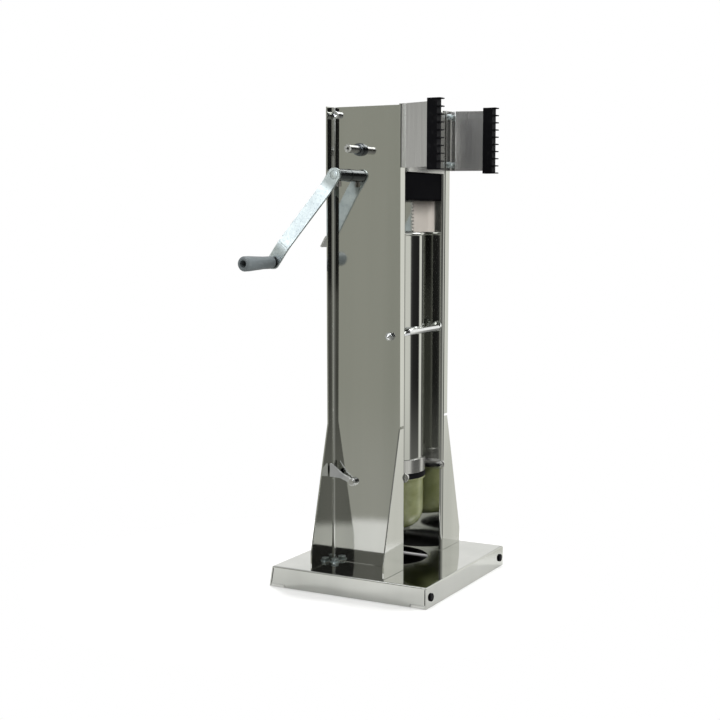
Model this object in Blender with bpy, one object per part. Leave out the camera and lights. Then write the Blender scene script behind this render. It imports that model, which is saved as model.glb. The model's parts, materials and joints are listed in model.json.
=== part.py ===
# Upright hand-cranked sausage stuffer with two gear speeds, standing on its folded base, piston down.
# Metres, +Z up. The open front of the column faces -Y, and the crank is on the near side, -X.
# Pieces are placed about the column's mid plane (x = 0), the base's middle (y = 0) and the floor (z = 0).
# At the end the whole stands with the centre of its footprint on the world origin.

import math

import bmesh
import bpy
from mathutils import Matrix, Vector

# Driving sizes
BASE_WIDTH = 0.330
BASE_DEPTH = 0.300
BASE_HEIGHT = 0.037
COLUMN_WIDTH = 0.156
COLUMN_DEPTH = 0.143
COLUMN_TOP = 0.834
AXIS_Y = 0.0065
CYLINDER_BOTTOM = 0.1965
CRANK_REACH = 0.1835
CRANK_LEAN = math.radians(35.6)
MODULE = 0.002

# Fits shared by every piece
GAP = 0.0003
OVERRUN = 0.010
MERGE = 0.0000003
BASE_SHEET = 0.002
PANEL_SHEET = 0.0025
COVER_SHEET = 0.002
ROUND_SIDES = 48
SMALL_SIDES = 20
MEDIUM_SIDES = 24
BOLT_SIDES = 12
HEX_SIDES = 6
EDGE_BREAK = 0.0006
SMOOTH_ANGLE = math.radians(35)

# Base tray
TRAY_BEND = 0.003
SLIT_WIDTH = 0.0015
SLIT_TOP = 0.0335
WALL_LIFT = 0.0006
BACK_WALL_FLARE = 0.006
PAD_LENGTH = 0.028
PAD_HEIGHT = 0.0052
RETURN_WIDTH = 0.030
TUBE_HOLE_MARGIN = 0.0095
FOOT_RADIUS = 0.007
FOOT_STAND = 0.003
FOOT_EDGE = 0.001
FOOT_INSET = 0.017
FOOT_HEIGHT = 0.0175
FOOT_STEM_RADIUS = 0.003
FOOT_BARB_RADIUS = 0.0045
FOOT_BARB_LENGTH = 0.003
FOOT_TIP_RADIUS = 0.002

# Side panels
PANEL_BEND = 0.005
FLANGE_FOOT = 0.077
FLANGE_TOP = 0.0212
FLANGE_WAIST = 0.0178
FLARE_LOW = 0.065
FLARE_HIGH = 0.2855
NOTCH_HEIGHT = 0.0045
NOTCH_DEPTH = 0.013

# Gear head, its covers and the rest wings that carry it when it lies down
HEAD_HEIGHT = 0.159
HEAD_FRONT_SETBACK = 0.006
HEAD_FRONT_DROP = 0.112
HEAD_BULGE = 0.014
HEAD_TOP_DROP = 0.003
COVER_DROP = 0.1115
COVER_LIP = 0.015
WING_HEIGHT = 0.1055
WING_STRIP = 0.0205
WING_STAND = 0.0095
WING_BEND = 0.003
WING_SPREAD = 0.037
WING_REACH = 0.060
WING_TONGUE = 0.014
STRIP_WIDTH = 0.0168
STRIP_DEPTH = 0.018
STRIP_OVERHANG = 0.005
RIB_COUNT = 10
RIB_THICKNESS = 0.0019
RIB_STAND = 0.006

# Shafts and gears
LOWER_INSET = 0.0324
LOWER_DROP = 0.1165
PINION_TEETH = 17
WHEEL_TEETH = 37
SMALL_TEETH = 12
UPPER_ANGLE = math.radians(118.3)
PRESSURE_ANGLE = math.radians(25)
BACKLASH = 0.0005
ADDENDUM_SHARE = 0.9
DEDENDUM_SHARE = 1.2
FLANK_STEPS = 3
SHAFT_RADIUS = 0.007
PINION_WIDTH = 0.024
WHEEL_WIDTH = 0.014
WHEEL_MIDDLE = 0.045
SMALL_GEAR_WIDTH = 0.016
UPPER_SHAFT_REACH = 0.045
UPPER_SHAFT_INNER = 0.016
UPPER_HOLE_RADIUS = 0.0022
UPPER_HOLE_DEPTH = 0.010
BUSH_RADIUS = 0.011
BUSH_FLANGE = 0.0035
BUSH_STAND = 0.003
CHEEK_PLACE = 0.0205
CHEEK_THICKNESS = 0.003
CHEEK_MARGIN = 0.015
FAR_SHAFT_STAND = 0.006

# Rack, piston and their guide
RACK_WIDTH = 0.024
RACK_BACK = 0.0380
RACK_CHAMFER = 0.0045
RACK_DROP = 0.044
RACK_TOOTH_START = 0.016
PISTON_LIFT = 0.004
PISTON_HEIGHT = 0.016
PISTON_BOSS_RADIUS = 0.027
PISTON_BOSS_HEIGHT = 0.012
PISTON_PLAY = 0.0012
SEAL_HEIGHT = 0.007
SEAL_DEPTH = 0.006
PISTON_BOLT_RADIUS = 0.010
PISTON_BOLT_HEIGHT = 0.004
GUIDE_WIDTH = 0.036
GUIDE_DEPTH = 0.012
GUIDE_DROP = 0.089
GUIDE_CLEAR = 0.002

# Cylinder, its ring and the funnel
CYLINDER_CLEAR = 0.013
CYLINDER_DROP = 0.2145
CYLINDER_WALL = 0.0015
RIM_HEIGHT = 0.0055
RIM_STAND = 0.003
RIM_EDGE = 0.001
RIM_LIP = 0.0018
RING_HEIGHT = 0.024
RING_STAND = 0.004
GASKET_HEIGHT = 0.0097
GASKET_WIDTH = 0.0055
FUNNEL_BOTTOM = 0.092
FUNNEL_CORNER_SHARE = 0.512
FUNNEL_WALL = 0.003
FUNNEL_FLANGE = 0.003
FUNNEL_HOLE_SHARE = 0.32
FUNNEL_DISH = 0.002
HANDLE_WIDTH = 0.030
HANDLE_REACH = 0.056
HANDLE_RISE = 0.006
HANDLE_DROP = 0.019
HANDLE_LIP = 0.011
HANDLE_THICKNESS = 0.003
HANDLE_BELOW_RIM = 0.014
HANDLE_PLATE = 0.018
HANDLE_BEND = 0.004
HANDLE_CORNER = 0.006

# Cradle rod in front of the cylinder, with its nuts
ROD_RADIUS = 0.0055
ROD_HEIGHT_SHARE = 0.5385
ROD_END_INSET = 0.0285
ROD_END_DROP = 0.0065
ROD_SLOPE_INSET = 0.016
NUT_RADIUS = 0.0075
NUT_HEIGHT = 0.006
CAP_RADIUS = 0.0058
CAP_SHOULDER_RADIUS = 0.0046
CAP_SHOULDER_HEIGHT = 0.0035
CAP_WEB = 0.0015

# Hinge ears of the cylinder ring
EAR_HEIGHT = 0.198
EAR_INSET = 0.003
EAR_RADIUS = 0.0085
EAR_ROOT = 0.034
EAR_THICKNESS = 0.0025
EAR_PIN_RADIUS = 0.003
EAR_HEAD_RADIUS = 0.005
EAR_HEAD_THICKNESS = 0.002
LUG_THICKNESS = 0.005
LUG_RADIUS = 0.0068
LUG_REACH_SHARE = 0.35
LUG_ARM_SHARE = 0.93

# Latches beside the back flanges
LATCH_INSET = 0.043
LATCH_Z = 0.183
LATCH_END_INSET = 0.0045
LATCH_END_LOW = 0.191
LATCH_END_HIGH = 0.2145
LATCH_BOSS_RADIUS = 0.0072
LATCH_BOSS_THICKNESS = 0.007
LATCH_NECK = 0.009
LATCH_PLATE = 0.003
LATCH_FLARE = 0.012
LATCH_PIN_RADIUS = 0.0035
LATCH_PIN_HEAD = 0.00525
LATCH_PIN_HEAD_HEIGHT = 0.00175
LATCH_ROOT = 0.0058
LATCH_NECK_SHARE = 0.5

# Tie bar and head bolts at the top back corner, and the bolts of the wings
TIE_INSET_Y = 0.0115
TIE_DROP = 0.0135
TIE_RADIUS = 0.005
TIE_HEAD_RADIUS = 0.0062
TIE_HEAD_HEIGHT = 0.009
TIE_SOCKET_RADIUS = 0.0032
TIE_SOCKET_DEPTH = 0.0045
WING_BOLT_RADIUS = 0.0054
WING_BOLT_HEIGHT = 0.0045
WING_BOLT_TIP = 0.0035
WING_BOLT_STEM = 0.0028
WING_BOLT_INSET = 0.0105

# Crank
CRANK_STAND = 0.0465
CRANK_BAR = 0.005
CRANK_HALF_WIDTH = 0.0117
CRANK_JOG = 0.026
CRANK_BEND = 0.010
CRANK_JOG_START_SHARE = 0.16
CRANK_JOG_END_SHARE = 0.80
HUB_RADIUS = 0.0105
SET_SCREW_RADIUS = 0.0042
SET_SCREW_STEM = 0.0025
SET_SCREW_HEIGHT = 0.009
SET_SCREW_INSET = 0.0126
GRIP_LENGTH = 0.0876
GRIP_RADIUS = 0.0128
GRIP_NECK = 0.0108
GRIP_NECK_EDGE = 0.001
GRIP_TAPER_SHARES = (0.3, 0.8)
GRIP_END_ROUND = 0.0045
GRIP_END_EDGE = 0.0013
GRIP_SHOULDER = 0.0109
GRIP_FACE = 0.0087
GRIP_BOLT_RADIUS = 0.004
GRIP_BOLT_HEAD = 0.0058
GRIP_BOLT_HEAD_LENGTH = 0.006
GRIP_BORE_SHARE = 0.35
COLLAR_LENGTH = 0.004
COLLAR_RADIUS = 0.0097

# Colours, as linear red, green and blue, with roughness and metallic value
FINISHES = {
    "mirror_steel": ((0.56, 0.57, 0.54), 0.08, 1.0),
    "satin_steel": ((0.60, 0.60, 0.58), 0.28, 1.0),
    "chrome": ((0.78, 0.79, 0.80), 0.06, 1.0),
    "zinc_steel": ((0.52, 0.57, 0.58), 0.34, 1.0),
    "gear_steel": ((0.42, 0.40, 0.38), 0.38, 1.0),
    "rack_steel": ((0.66, 0.60, 0.56), 0.32, 1.0),
    "black_rubber": ((0.012, 0.012, 0.014), 0.75, 0.0),
    "black_paint": ((0.015, 0.015, 0.016), 0.45, 0.0),
    "grey_plastic": ((0.15, 0.17, 0.18), 0.50, 0.0),
    "funnel_plastic": ((0.24, 0.26, 0.09), 0.28, 0.0),
    "white_plastic": ((0.70, 0.70, 0.67), 0.45, 0.0),
}

# Worked out from the sizes above
PANEL_OUTER = COLUMN_WIDTH / 2
PANEL_INNER = PANEL_OUTER - PANEL_SHEET
COLUMN_FRONT = AXIS_Y - COLUMN_DEPTH / 2
COLUMN_BACK = AXIS_Y + COLUMN_DEPTH / 2
CYLINDER_RADIUS = PANEL_INNER - CYLINDER_CLEAR
CYLINDER_TOP = COLUMN_TOP - CYLINDER_DROP
BORE_RADIUS = CYLINDER_RADIUS - CYLINDER_WALL
FUNNEL_CORNER = CYLINDER_RADIUS * FUNNEL_CORNER_SHARE
FUNNEL_HOLE_RADIUS = CYLINDER_RADIUS * FUNNEL_HOLE_SHARE
TUBE_HOLE_RADIUS = CYLINDER_RADIUS + TUBE_HOLE_MARGIN
HANDLE_HEIGHT = CYLINDER_TOP - HANDLE_BELOW_RIM
HEAD_FLOOR = COLUMN_TOP - HEAD_HEIGHT
WING_BOTTOM = COLUMN_TOP - WING_HEIGHT
WING_END_X = PANEL_OUTER + WING_SPREAD
WING_END_Y = COLUMN_FRONT - WING_REACH
ROD_HEIGHT = COLUMN_TOP * ROD_HEIGHT_SHARE
ROD_END_HEIGHT = ROD_HEIGHT - ROD_END_DROP
ROD_END_Y = COLUMN_FRONT + ROD_END_INSET
EAR_Y = COLUMN_FRONT + EAR_INSET
LATCH_Y = COLUMN_BACK - LATCH_INSET
LATCH_END_Y = COLUMN_BACK - LATCH_END_INSET
RACK_TOP = COLUMN_TOP - RACK_DROP
LOWER_Y = COLUMN_BACK - LOWER_INSET
LOWER_Z = COLUMN_TOP - LOWER_DROP
PINION_RADIUS = MODULE * PINION_TEETH / 2
WHEEL_RADIUS = MODULE * WHEEL_TEETH / 2
SMALL_RADIUS = MODULE * SMALL_TEETH / 2
UPPER_Y = LOWER_Y + (WHEEL_RADIUS + SMALL_RADIUS) * math.cos(UPPER_ANGLE)
UPPER_Z = LOWER_Z + (WHEEL_RADIUS + SMALL_RADIUS) * math.sin(UPPER_ANGLE)
TOOTH_PITCH = math.pi * MODULE
RACK_PITCH_Y = LOWER_Y - PINION_RADIUS
RACK_TIP_Y = RACK_PITCH_Y + ADDENDUM_SHARE * MODULE
RACK_FRONT_Y = RACK_TIP_Y - RACK_BACK
PISTON_BOTTOM = CYLINDER_BOTTOM + PISTON_LIFT
PISTON_TOP = PISTON_BOTTOM + PISTON_HEIGHT
HOUSING_X = PANEL_INNER - 2 * GAP
CRANK_PLANE = PANEL_OUTER + CRANK_STAND
GRIP_PLANE = CRANK_PLANE + CRANK_BAR + CRANK_JOG

PLANE_AXES = {"XY": (0, 1, 2), "XZ": (0, 2, 1), "YZ": (1, 2, 0)}
NEAR, FAR = -1, 1


# Scene and materials
def clear_scene():
    for old in list(bpy.data.objects):
        bpy.data.objects.remove(old, do_unlink=True)


def material(name):
    if name in bpy.data.materials:
        return bpy.data.materials[name]
    colour, roughness, metallic = FINISHES[name]
    made = bpy.data.materials.new(name)
    made.use_nodes = True
    shader = made.node_tree.nodes["Principled BSDF"]
    shader.inputs["Base Color"].default_value = (*colour, 1)
    shader.inputs["Roughness"].default_value = roughness
    shader.inputs["Metallic"].default_value = metallic
    made.diffuse_color = (*colour, 1)
    return made


def empty(name, place, parent=None):
    made = bpy.data.objects.new(name, None)
    made.location = place
    made.parent = parent
    bpy.context.collection.objects.link(made)
    return made


def object_from(bm, name, finish, parent, place=(0, 0, 0)):
    """Turns a bmesh into a placed object with its own material."""
    bmesh.ops.recalc_face_normals(bm, faces=bm.faces)
    mesh = bpy.data.meshes.new(name)
    bm.to_mesh(mesh)
    bm.free()
    mesh.shade_smooth()
    mesh.set_sharp_from_angle(angle=SMOOTH_ANGLE)
    made = bpy.data.objects.new(name, mesh)
    mesh.materials.append(material(finish))
    made.parent = parent
    made.location = place
    bpy.context.collection.objects.link(made)
    return made


# Outlines
def arc(centre, radius, start, end, steps):
    """Points on a circle from one angle to another, both included."""
    return [
        (centre[0] + radius * math.cos(start + (end - start) * i / steps),
         centre[1] + radius * math.sin(start + (end - start) * i / steps))
        for i in range(steps + 1)
    ]


def circle(centre, radius, sides=SMALL_SIDES):
    return arc(centre, radius, 0, math.tau, sides)[:-1]


def rounded(corners, radius, steps=4):
    """A closed outline with every corner rounded."""
    points = []
    for i, corner in enumerate(corners):
        here = Vector(corner)
        back = (Vector(corners[i - 1]) - here).normalized()
        on = (Vector(corners[(i + 1) % len(corners)]) - here).normalized()
        half = back.angle(on) / 2
        centre = here + (back + on).normalized() * (radius / math.sin(half))
        start = here + back * (radius / math.tan(half)) - centre
        end = here + on * (radius / math.tan(half)) - centre
        turn = start.angle_signed(end)
        for k in range(steps + 1):
            spoke = start.copy()
            spoke.rotate(Matrix.Rotation(-turn * k / steps, 2))
            points.append(tuple(centre + spoke))
    return points


def rectangle(low, high):
    return [(low[0], low[1]), (high[0], low[1]), (high[0], high[1]), (low[0], high[1])]


def folded(corners, thickness, bend, steps=4):
    """The outline of a folded sheet whose middle line runs through the corners, each bend rounded."""
    line = []
    places = [Vector(corner) for corner in corners]
    for i, here in enumerate(places):
        if i in (0, len(places) - 1):
            along = (places[1] - here) if i == 0 else (here - places[-2])
            line.append((here, Vector((-along.y, along.x)).normalized()))
            continue
        before = (here - places[i - 1]).normalized()
        after = (places[i + 1] - here).normalized()
        turn = math.atan2(before.x * after.y - before.y * after.x, before.dot(after))
        inward = Vector((-before.y, before.x)) * math.copysign(1, turn)
        start = here - before * (bend * math.tan(abs(turn) / 2))
        centre = start + inward * bend
        for k in range(steps + 1):
            spoke = -inward
            spoke.rotate(Matrix.Rotation(turn * k / steps, 2))
            line.append((centre + spoke * bend, -spoke * math.copysign(1, turn)))
    left = [tuple(point + normal * thickness / 2) for point, normal in line]
    right = [tuple(point - normal * thickness / 2) for point, normal in line]
    return left + right[::-1]


def gear_outline(teeth, phase):
    """An involute gear's outline. A tooth is centred on the phase angle."""
    pitch = MODULE * teeth / 2
    base = pitch * math.cos(PRESSURE_ANGLE)
    tip = pitch + ADDENDUM_SHARE * MODULE
    root = pitch - DEDENDUM_SHARE * MODULE
    half = (TOOTH_PITCH - BACKLASH) / 4 / pitch

    def involute(radius):
        angle = math.acos(min(1, base / radius))
        return math.tan(angle) - angle

    start = max(base, root)
    flank = [start + (tip - start) * i / FLANK_STEPS for i in range(FLANK_STEPS + 1)]
    points = []
    for tooth in range(teeth):
        middle = phase + math.tau * tooth / teeth
        spread = [(radius, half + involute(pitch) - involute(radius)) for radius in flank]
        if base > root:
            spread.insert(0, (root, spread[0][1]))
        side = [(radius, middle - angle) for radius, angle in spread]
        side += [(radius, middle + angle) for radius, angle in reversed(spread)]
        points += [(radius * math.cos(angle), radius * math.sin(angle)) for radius, angle in side]
    return points


# Solids
def prism(outline, plane, low, high):
    """A bmesh of a flat outline drawn in a plane and extruded along the third axis."""
    first, second, third = PLANE_AXES[plane]
    bm = bmesh.new()
    verts = []
    for point in outline:
        place = [0.0, 0.0, 0.0]
        place[first], place[second], place[third] = point[0], point[1], low
        verts.append(bm.verts.new(place))
    face = bm.faces.new(verts)
    grown = bmesh.ops.extrude_face_region(bm, geom=[face])
    shift = [0.0, 0.0, 0.0]
    shift[third] = high - low
    moved = [item for item in grown["geom"] if isinstance(item, bmesh.types.BMVert)]
    bmesh.ops.translate(bm, verts=moved, vec=shift)
    return bm


def box(low, high):
    return prism(rectangle(low[:2], high[:2]), "XY", low[2], high[2])


def turned(profile, axis, sides=ROUND_SIDES, closed=False):
    """A bmesh of a profile of (radius, height) points spun round the X or Z axis."""
    bm = bmesh.new()
    spots = [(radius, 0, height) if axis == "Z" else (height, radius, 0) for radius, height in profile]
    verts = [bm.verts.new(spot) for spot in spots]
    edges = [bm.edges.new(pair) for pair in zip(verts, verts[1:])]
    if closed:
        edges.append(bm.edges.new((verts[-1], verts[0])))
    turn_axis = (0, 0, 1) if axis == "Z" else (1, 0, 0)
    bmesh.ops.spin(
        bm, geom=verts + edges, cent=(0, 0, 0), axis=turn_axis, angle=math.tau, steps=sides, use_merge=True
    )
    bmesh.ops.remove_doubles(bm, verts=bm.verts, dist=MERGE)
    return bm


def rod(radius, low, high, axis="X", sides=SMALL_SIDES):
    return turned([(0, low), (radius, low), (radius, high), (0, high)], axis, sides)


def on_side(bm, side):
    """Mirrors a mesh drawn for the far side where the near one is asked for."""
    if side == NEAR:
        bmesh.ops.scale(bm, verts=bm.verts, vec=(-1, 1, 1))
    return bm


def bevelled(bm, edges_of, width, segments=2):
    """Rounds the edges that the test picks."""
    picked = [edge for edge in bm.edges if edges_of(edge)]
    bmesh.ops.bevel(bm, geom=picked, offset=width, segments=segments, profile=0.5, affect="EDGES", material=-1)
    return bm


def combine(target, bm, operation, place=(0, 0, 0)):
    """Cuts a bmesh from an object, or joins it on, with a Boolean whose helper is never drawn."""
    helper = object_from(bm, f"{target.name}_{operation.lower()}_{len(target.modifiers)}",
                         target.data.materials[0].name, target.parent, place)
    helper.hide_render = True
    helper.display_type = "WIRE"
    modifier = target.modifiers.new(operation.title(), "BOOLEAN")
    modifier.operation = operation
    modifier.object = helper
    return target


def cut(target, bm, place=(0, 0, 0)):
    return combine(target, bm, "DIFFERENCE", place)


def join(target, bm, place=(0, 0, 0)):
    return combine(target, bm, "UNION", place)


# Base
def tray_side(inset, low, high):
    """The tray's outline from the side, set in from its faces. The back wall flares toward the floor."""
    front, back = -BASE_DEPTH / 2 + inset, BASE_DEPTH / 2 - inset
    flare = BACK_WALL_FLARE / BASE_HEIGHT
    back_low = back + flare * (BASE_HEIGHT - low)
    back_high = back + flare * (BASE_HEIGHT - high)
    return [(front, low), (back_low, low), (back_high, high), (front, high)]


def base_tray(frame):
    half_x, half_y = BASE_WIDTH / 2, BASE_DEPTH / 2
    shell = prism(tray_side(0, WALL_LIFT, BASE_HEIGHT), "YZ", -half_x, half_x)
    bevelled(shell, lambda edge: all(v.co.z > BASE_HEIGHT - GAP for v in edge.verts), TRAY_BEND, 3)
    tray = object_from(shell, "base_tray", "mirror_steel", frame)
    inner_x = half_x - BASE_SHEET
    cut(tray, prism(tray_side(BASE_SHEET, -OVERRUN, BASE_HEIGHT - BASE_SHEET), "YZ", -inner_x, inner_x))
    for end in (0, 1):
        openings = (
            (BASE_SHEET + GAP, BASE_SHEET + GAP + SLIT_WIDTH, SLIT_TOP),
            (BASE_SHEET + 2 * GAP, BASE_SHEET + PAD_LENGTH + 2 * GAP, PAD_HEIGHT + GAP),
        )
        for start, stop, top in openings:
            side = tray_side(start, -OVERRUN, top)
            far = tray_side(stop, -OVERRUN, top)
            outline = [side[1], side[2], far[2], far[1]] if end else [side[0], far[0], far[3], side[3]]
            for x in (-half_x, half_x):
                cut(tray, prism(outline, "YZ", x - OVERRUN / 2, x + OVERRUN / 2))
    low = PAD_HEIGHT + GAP
    flare = BACK_WALL_FLARE * (BASE_HEIGHT - low - BASE_SHEET) / BASE_HEIGHT
    length = inner_x - 2 * GAP
    reach = half_y - BASE_SHEET / 2
    join(tray, box((-length, -reach, low), (length, RETURN_WIDTH - reach, low + BASE_SHEET)))
    join(tray, box((-length, reach - RETURN_WIDTH, low), (length, reach + flare, low + BASE_SHEET)))
    cut(tray, rod(TUBE_HOLE_RADIUS, -OVERRUN, OVERRUN, "Z", ROUND_SIDES), (0, AXIS_Y, BASE_HEIGHT))
    for x in (-1, 1):
        place = (x * (half_x - FOOT_INSET), -half_y, FOOT_HEIGHT)
        stem = prism(circle((0, 0), FOOT_STEM_RADIUS + GAP), "XZ", -OVERRUN, OVERRUN)
        cut(tray, stem, place)
    return tray


def corner_pads(frame):
    outer_x = BASE_WIDTH / 2 - GAP
    side = tray_side(BASE_SHEET + GAP, 0, PAD_HEIGHT)
    depth = PAD_LENGTH - (side[1][0] - side[2][0])
    for x, name in ((NEAR, "near"), (FAR, "far")):
        for y, end in ((side[0][0], "front"), (side[2][0], "back")):
            xs = sorted((x * outer_x, x * (outer_x - PAD_LENGTH)))
            ys = sorted((y, y - math.copysign(depth, y)))
            pad = box((xs[0], ys[0], 0), (xs[1], ys[1], PAD_HEIGHT))
            object_from(pad, f"base_pad_{name}_{end}", "white_plastic", frame)


def lying_feet(frame):
    """Rubber feet on the base's front wall, pushed through it, that stand on the table when it lies down."""
    profile = [
        (0, -FOOT_STAND), (FOOT_RADIUS - FOOT_EDGE, -FOOT_STAND), (FOOT_RADIUS, FOOT_EDGE - FOOT_STAND),
        (FOOT_RADIUS, -GAP), (FOOT_STEM_RADIUS, -GAP), (FOOT_STEM_RADIUS, BASE_SHEET + GAP),
        (FOOT_BARB_RADIUS, BASE_SHEET + GAP), (FOOT_TIP_RADIUS, BASE_SHEET + FOOT_BARB_LENGTH),
        (0, BASE_SHEET + FOOT_BARB_LENGTH),
    ]
    for side, name in ((NEAR, "near"), (FAR, "far")):
        foot = turned(profile, "Z", SMALL_SIDES)
        bmesh.ops.rotate(foot, verts=foot.verts, matrix=Matrix.Rotation(-math.pi / 2, 3, "X"))
        place = (side * (BASE_WIDTH / 2 - FOOT_INSET), -BASE_DEPTH / 2, FOOT_HEIGHT)
        object_from(foot, f"lying_foot_{name}", "black_rubber", frame, place)


# Column
def side_panel(frame, side, name):
    """A panel with flanges turned outward at the front and the back, flared at the foot."""
    web = side * (PANEL_OUTER - PANEL_SHEET / 2)
    foot = side * (PANEL_OUTER + FLANGE_FOOT)
    front = COLUMN_FRONT + PANEL_SHEET / 2
    back = COLUMN_BACK - PANEL_SHEET / 2
    outline = folded([(foot, front), (web, front), (web, back), (foot, back)], PANEL_SHEET, PANEL_BEND)
    panel = object_from(prism(outline, "XY", BASE_HEIGHT + GAP, COLUMN_TOP), name, "mirror_steel", frame)
    edge = side * (PANEL_OUTER + FLANGE_TOP)
    waist = side * (PANEL_OUTER + FLANGE_WAIST)
    past = foot + side * OVERRUN
    flare = [
        (past, FLARE_LOW), (foot, FLARE_LOW), (waist, FLARE_HIGH), (edge, COLUMN_TOP),
        (edge, COLUMN_TOP + OVERRUN), (past, COLUMN_TOP + OVERRUN),
    ]
    cut(panel, prism(flare, "XZ", COLUMN_FRONT - OVERRUN, COLUMN_BACK + OVERRUN))
    xs = sorted((waist - side * NOTCH_DEPTH, past))
    cut(panel, box((xs[0], COLUMN_FRONT - OVERRUN, FLARE_HIGH),
                   (xs[1], COLUMN_FRONT + OVERRUN, FLARE_HIGH + NOTCH_HEIGHT)))
    holes = [
        (LOWER_Y, LOWER_Z, BUSH_RADIUS - BUSH_FLANGE + GAP),
        (ROD_END_Y, ROD_END_HEIGHT, ROD_RADIUS + GAP),
        (LATCH_Y, LATCH_Z, LATCH_PIN_RADIUS + GAP),
        (COLUMN_BACK - TIE_INSET_Y, COLUMN_TOP - TIE_DROP, TIE_RADIUS + GAP),
    ]
    if side == NEAR:
        holes.append((UPPER_Y, UPPER_Z, BUSH_RADIUS - BUSH_FLANGE + GAP))
    for y, z, radius in holes:
        spot = side * PANEL_OUTER
        cut(panel, prism(circle((0, 0), radius), "YZ", -OVERRUN, OVERRUN), (spot, y, z))
    bolt_x = side * (PANEL_OUTER + WING_STRIP / 2)
    for z in wing_bolt_heights():
        cut(panel, prism(circle((bolt_x, z), WING_BOLT_STEM + GAP), "XZ",
                         COLUMN_FRONT - OVERRUN, COLUMN_FRONT + OVERRUN))
    return panel


def wing_bolt_heights():
    return (WING_BOTTOM + WING_BOLT_INSET, COLUMN_TOP - WING_BOLT_INSET)


# Gear head
def gear_housing(frame):
    """A folded black tray between the panels: floor, low front wall and the back wall past the big gear."""
    front = COLUMN_FRONT + HEAD_FRONT_SETBACK
    back = COLUMN_BACK + HEAD_BULGE - COVER_SHEET / 2
    floor = HEAD_FLOOR + COVER_SHEET / 2
    top = COLUMN_TOP - HEAD_TOP_DROP
    outline = folded([(front, COLUMN_TOP - HEAD_FRONT_DROP), (front, floor), (back, floor), (back, top)],
                     COVER_SHEET, WING_BEND)
    housing = object_from(prism(outline, "YZ", -HOUSING_X, HOUSING_X), "gear_housing", "black_paint", frame)
    for side in (NEAR, FAR):
        xs = sorted((side * HOUSING_X, side * (HOUSING_X - COVER_SHEET)))
        join(housing, box((xs[0], COLUMN_BACK - OVERRUN, floor), (xs[1], back, top)))
        tie = prism(circle((COLUMN_BACK - TIE_INSET_Y, COLUMN_TOP - TIE_DROP), TIE_RADIUS + GAP), "YZ",
                    xs[0] - OVERRUN, xs[1] + OVERRUN)
        cut(housing, tie)
    slot_x = RACK_WIDTH / 2 + GUIDE_CLEAR
    cut(housing, box((-slot_x, RACK_FRONT_Y - GUIDE_CLEAR, HEAD_FLOOR - OVERRUN),
                     (slot_x, RACK_TIP_Y + GUIDE_CLEAR, HEAD_FLOOR + OVERRUN)))
    return housing


def head_covers(frame):
    plate_y = COLUMN_FRONT - GAP - COVER_SHEET / 2
    low = COLUMN_TOP - COVER_DROP
    side_x = HOUSING_X - COVER_SHEET / 2
    lip_y = COLUMN_FRONT + COVER_LIP
    outline = folded([(-side_x, lip_y), (-side_x, plate_y), (side_x, plate_y), (side_x, lip_y)],
                     COVER_SHEET, WING_BEND)
    lip_clear = COLUMN_FRONT + HEAD_FRONT_SETBACK - COVER_SHEET / 2 - GAP
    front = object_from(prism(outline, "XY", low, COLUMN_TOP - HEAD_TOP_DROP - COVER_SHEET - 2 * GAP),
                        "front_cover", "satin_steel", frame)
    join(front, box((-side_x, plate_y, low), (side_x, lip_clear, low + COVER_SHEET)))
    top_z = COLUMN_TOP - HEAD_TOP_DROP - COVER_SHEET
    back_y = COLUMN_BACK + HEAD_BULGE - COVER_SHEET - GAP
    inset = HOUSING_X - COVER_SHEET - GAP
    top = object_from(box((-inset, plate_y + COVER_SHEET, top_z), (inset, back_y, top_z + COVER_SHEET)),
                      "top_cover", "satin_steel", frame)
    slot_x = RACK_WIDTH / 2 + GUIDE_CLEAR
    cut(top, box((-slot_x, RACK_FRONT_Y - GUIDE_CLEAR, top_z - OVERRUN),
                 (slot_x, RACK_TIP_Y + GUIDE_CLEAR, top_z + OVERRUN)))
    return front, top


def rest_wing(frame, side, name):
    """A plate bolted to the front flange, folded forward at its edge and splayed to the rubber strip."""
    strip_y = COLUMN_FRONT - GAP - COVER_SHEET / 2
    start_x = side * (PANEL_OUTER + GAP)
    fold_x = start_x + side * WING_STRIP
    outline = folded(
        [(start_x, strip_y), (fold_x, strip_y), (fold_x, strip_y - WING_STAND),
         (side * WING_END_X, WING_END_Y), (side * WING_END_X, WING_END_Y - WING_TONGUE)],
        COVER_SHEET, WING_BEND,
    )
    plate = prism(outline, "XY", WING_BOTTOM, COLUMN_TOP)
    wing = object_from(plate, f"rest_wing_{name}", "satin_steel", frame)
    bolt_x = side * (PANEL_OUTER + WING_STRIP / 2)
    tip = WING_BOLT_HEIGHT + WING_BOLT_TIP
    for end, z in zip(("lower", "upper"), wing_bolt_heights()):
        cut(wing, prism(circle((bolt_x, z), WING_BOLT_STEM + GAP), "XZ",
                        strip_y - OVERRUN, strip_y + OVERRUN))
        bolt = turned(
            [(0, -tip), (WING_BOLT_STEM, -tip), (WING_BOLT_STEM, -WING_BOLT_HEIGHT),
             (WING_BOLT_RADIUS, -WING_BOLT_HEIGHT), (WING_BOLT_RADIUS, 0),
             (WING_BOLT_STEM, 0), (WING_BOLT_STEM, COVER_SHEET + PANEL_SHEET + 2 * GAP),
             (0, COVER_SHEET + PANEL_SHEET + 2 * GAP)],
            "Z", BOLT_SIDES,
        )
        bmesh.ops.rotate(bolt, verts=bolt.verts, matrix=Matrix.Rotation(-math.pi / 2, 3, "X"))
        head_y = strip_y - COVER_SHEET / 2 - GAP
        object_from(bolt, f"wing_bolt_{name}_{end}", "zinc_steel", frame, (bolt_x, head_y, z))
    return wing


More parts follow.
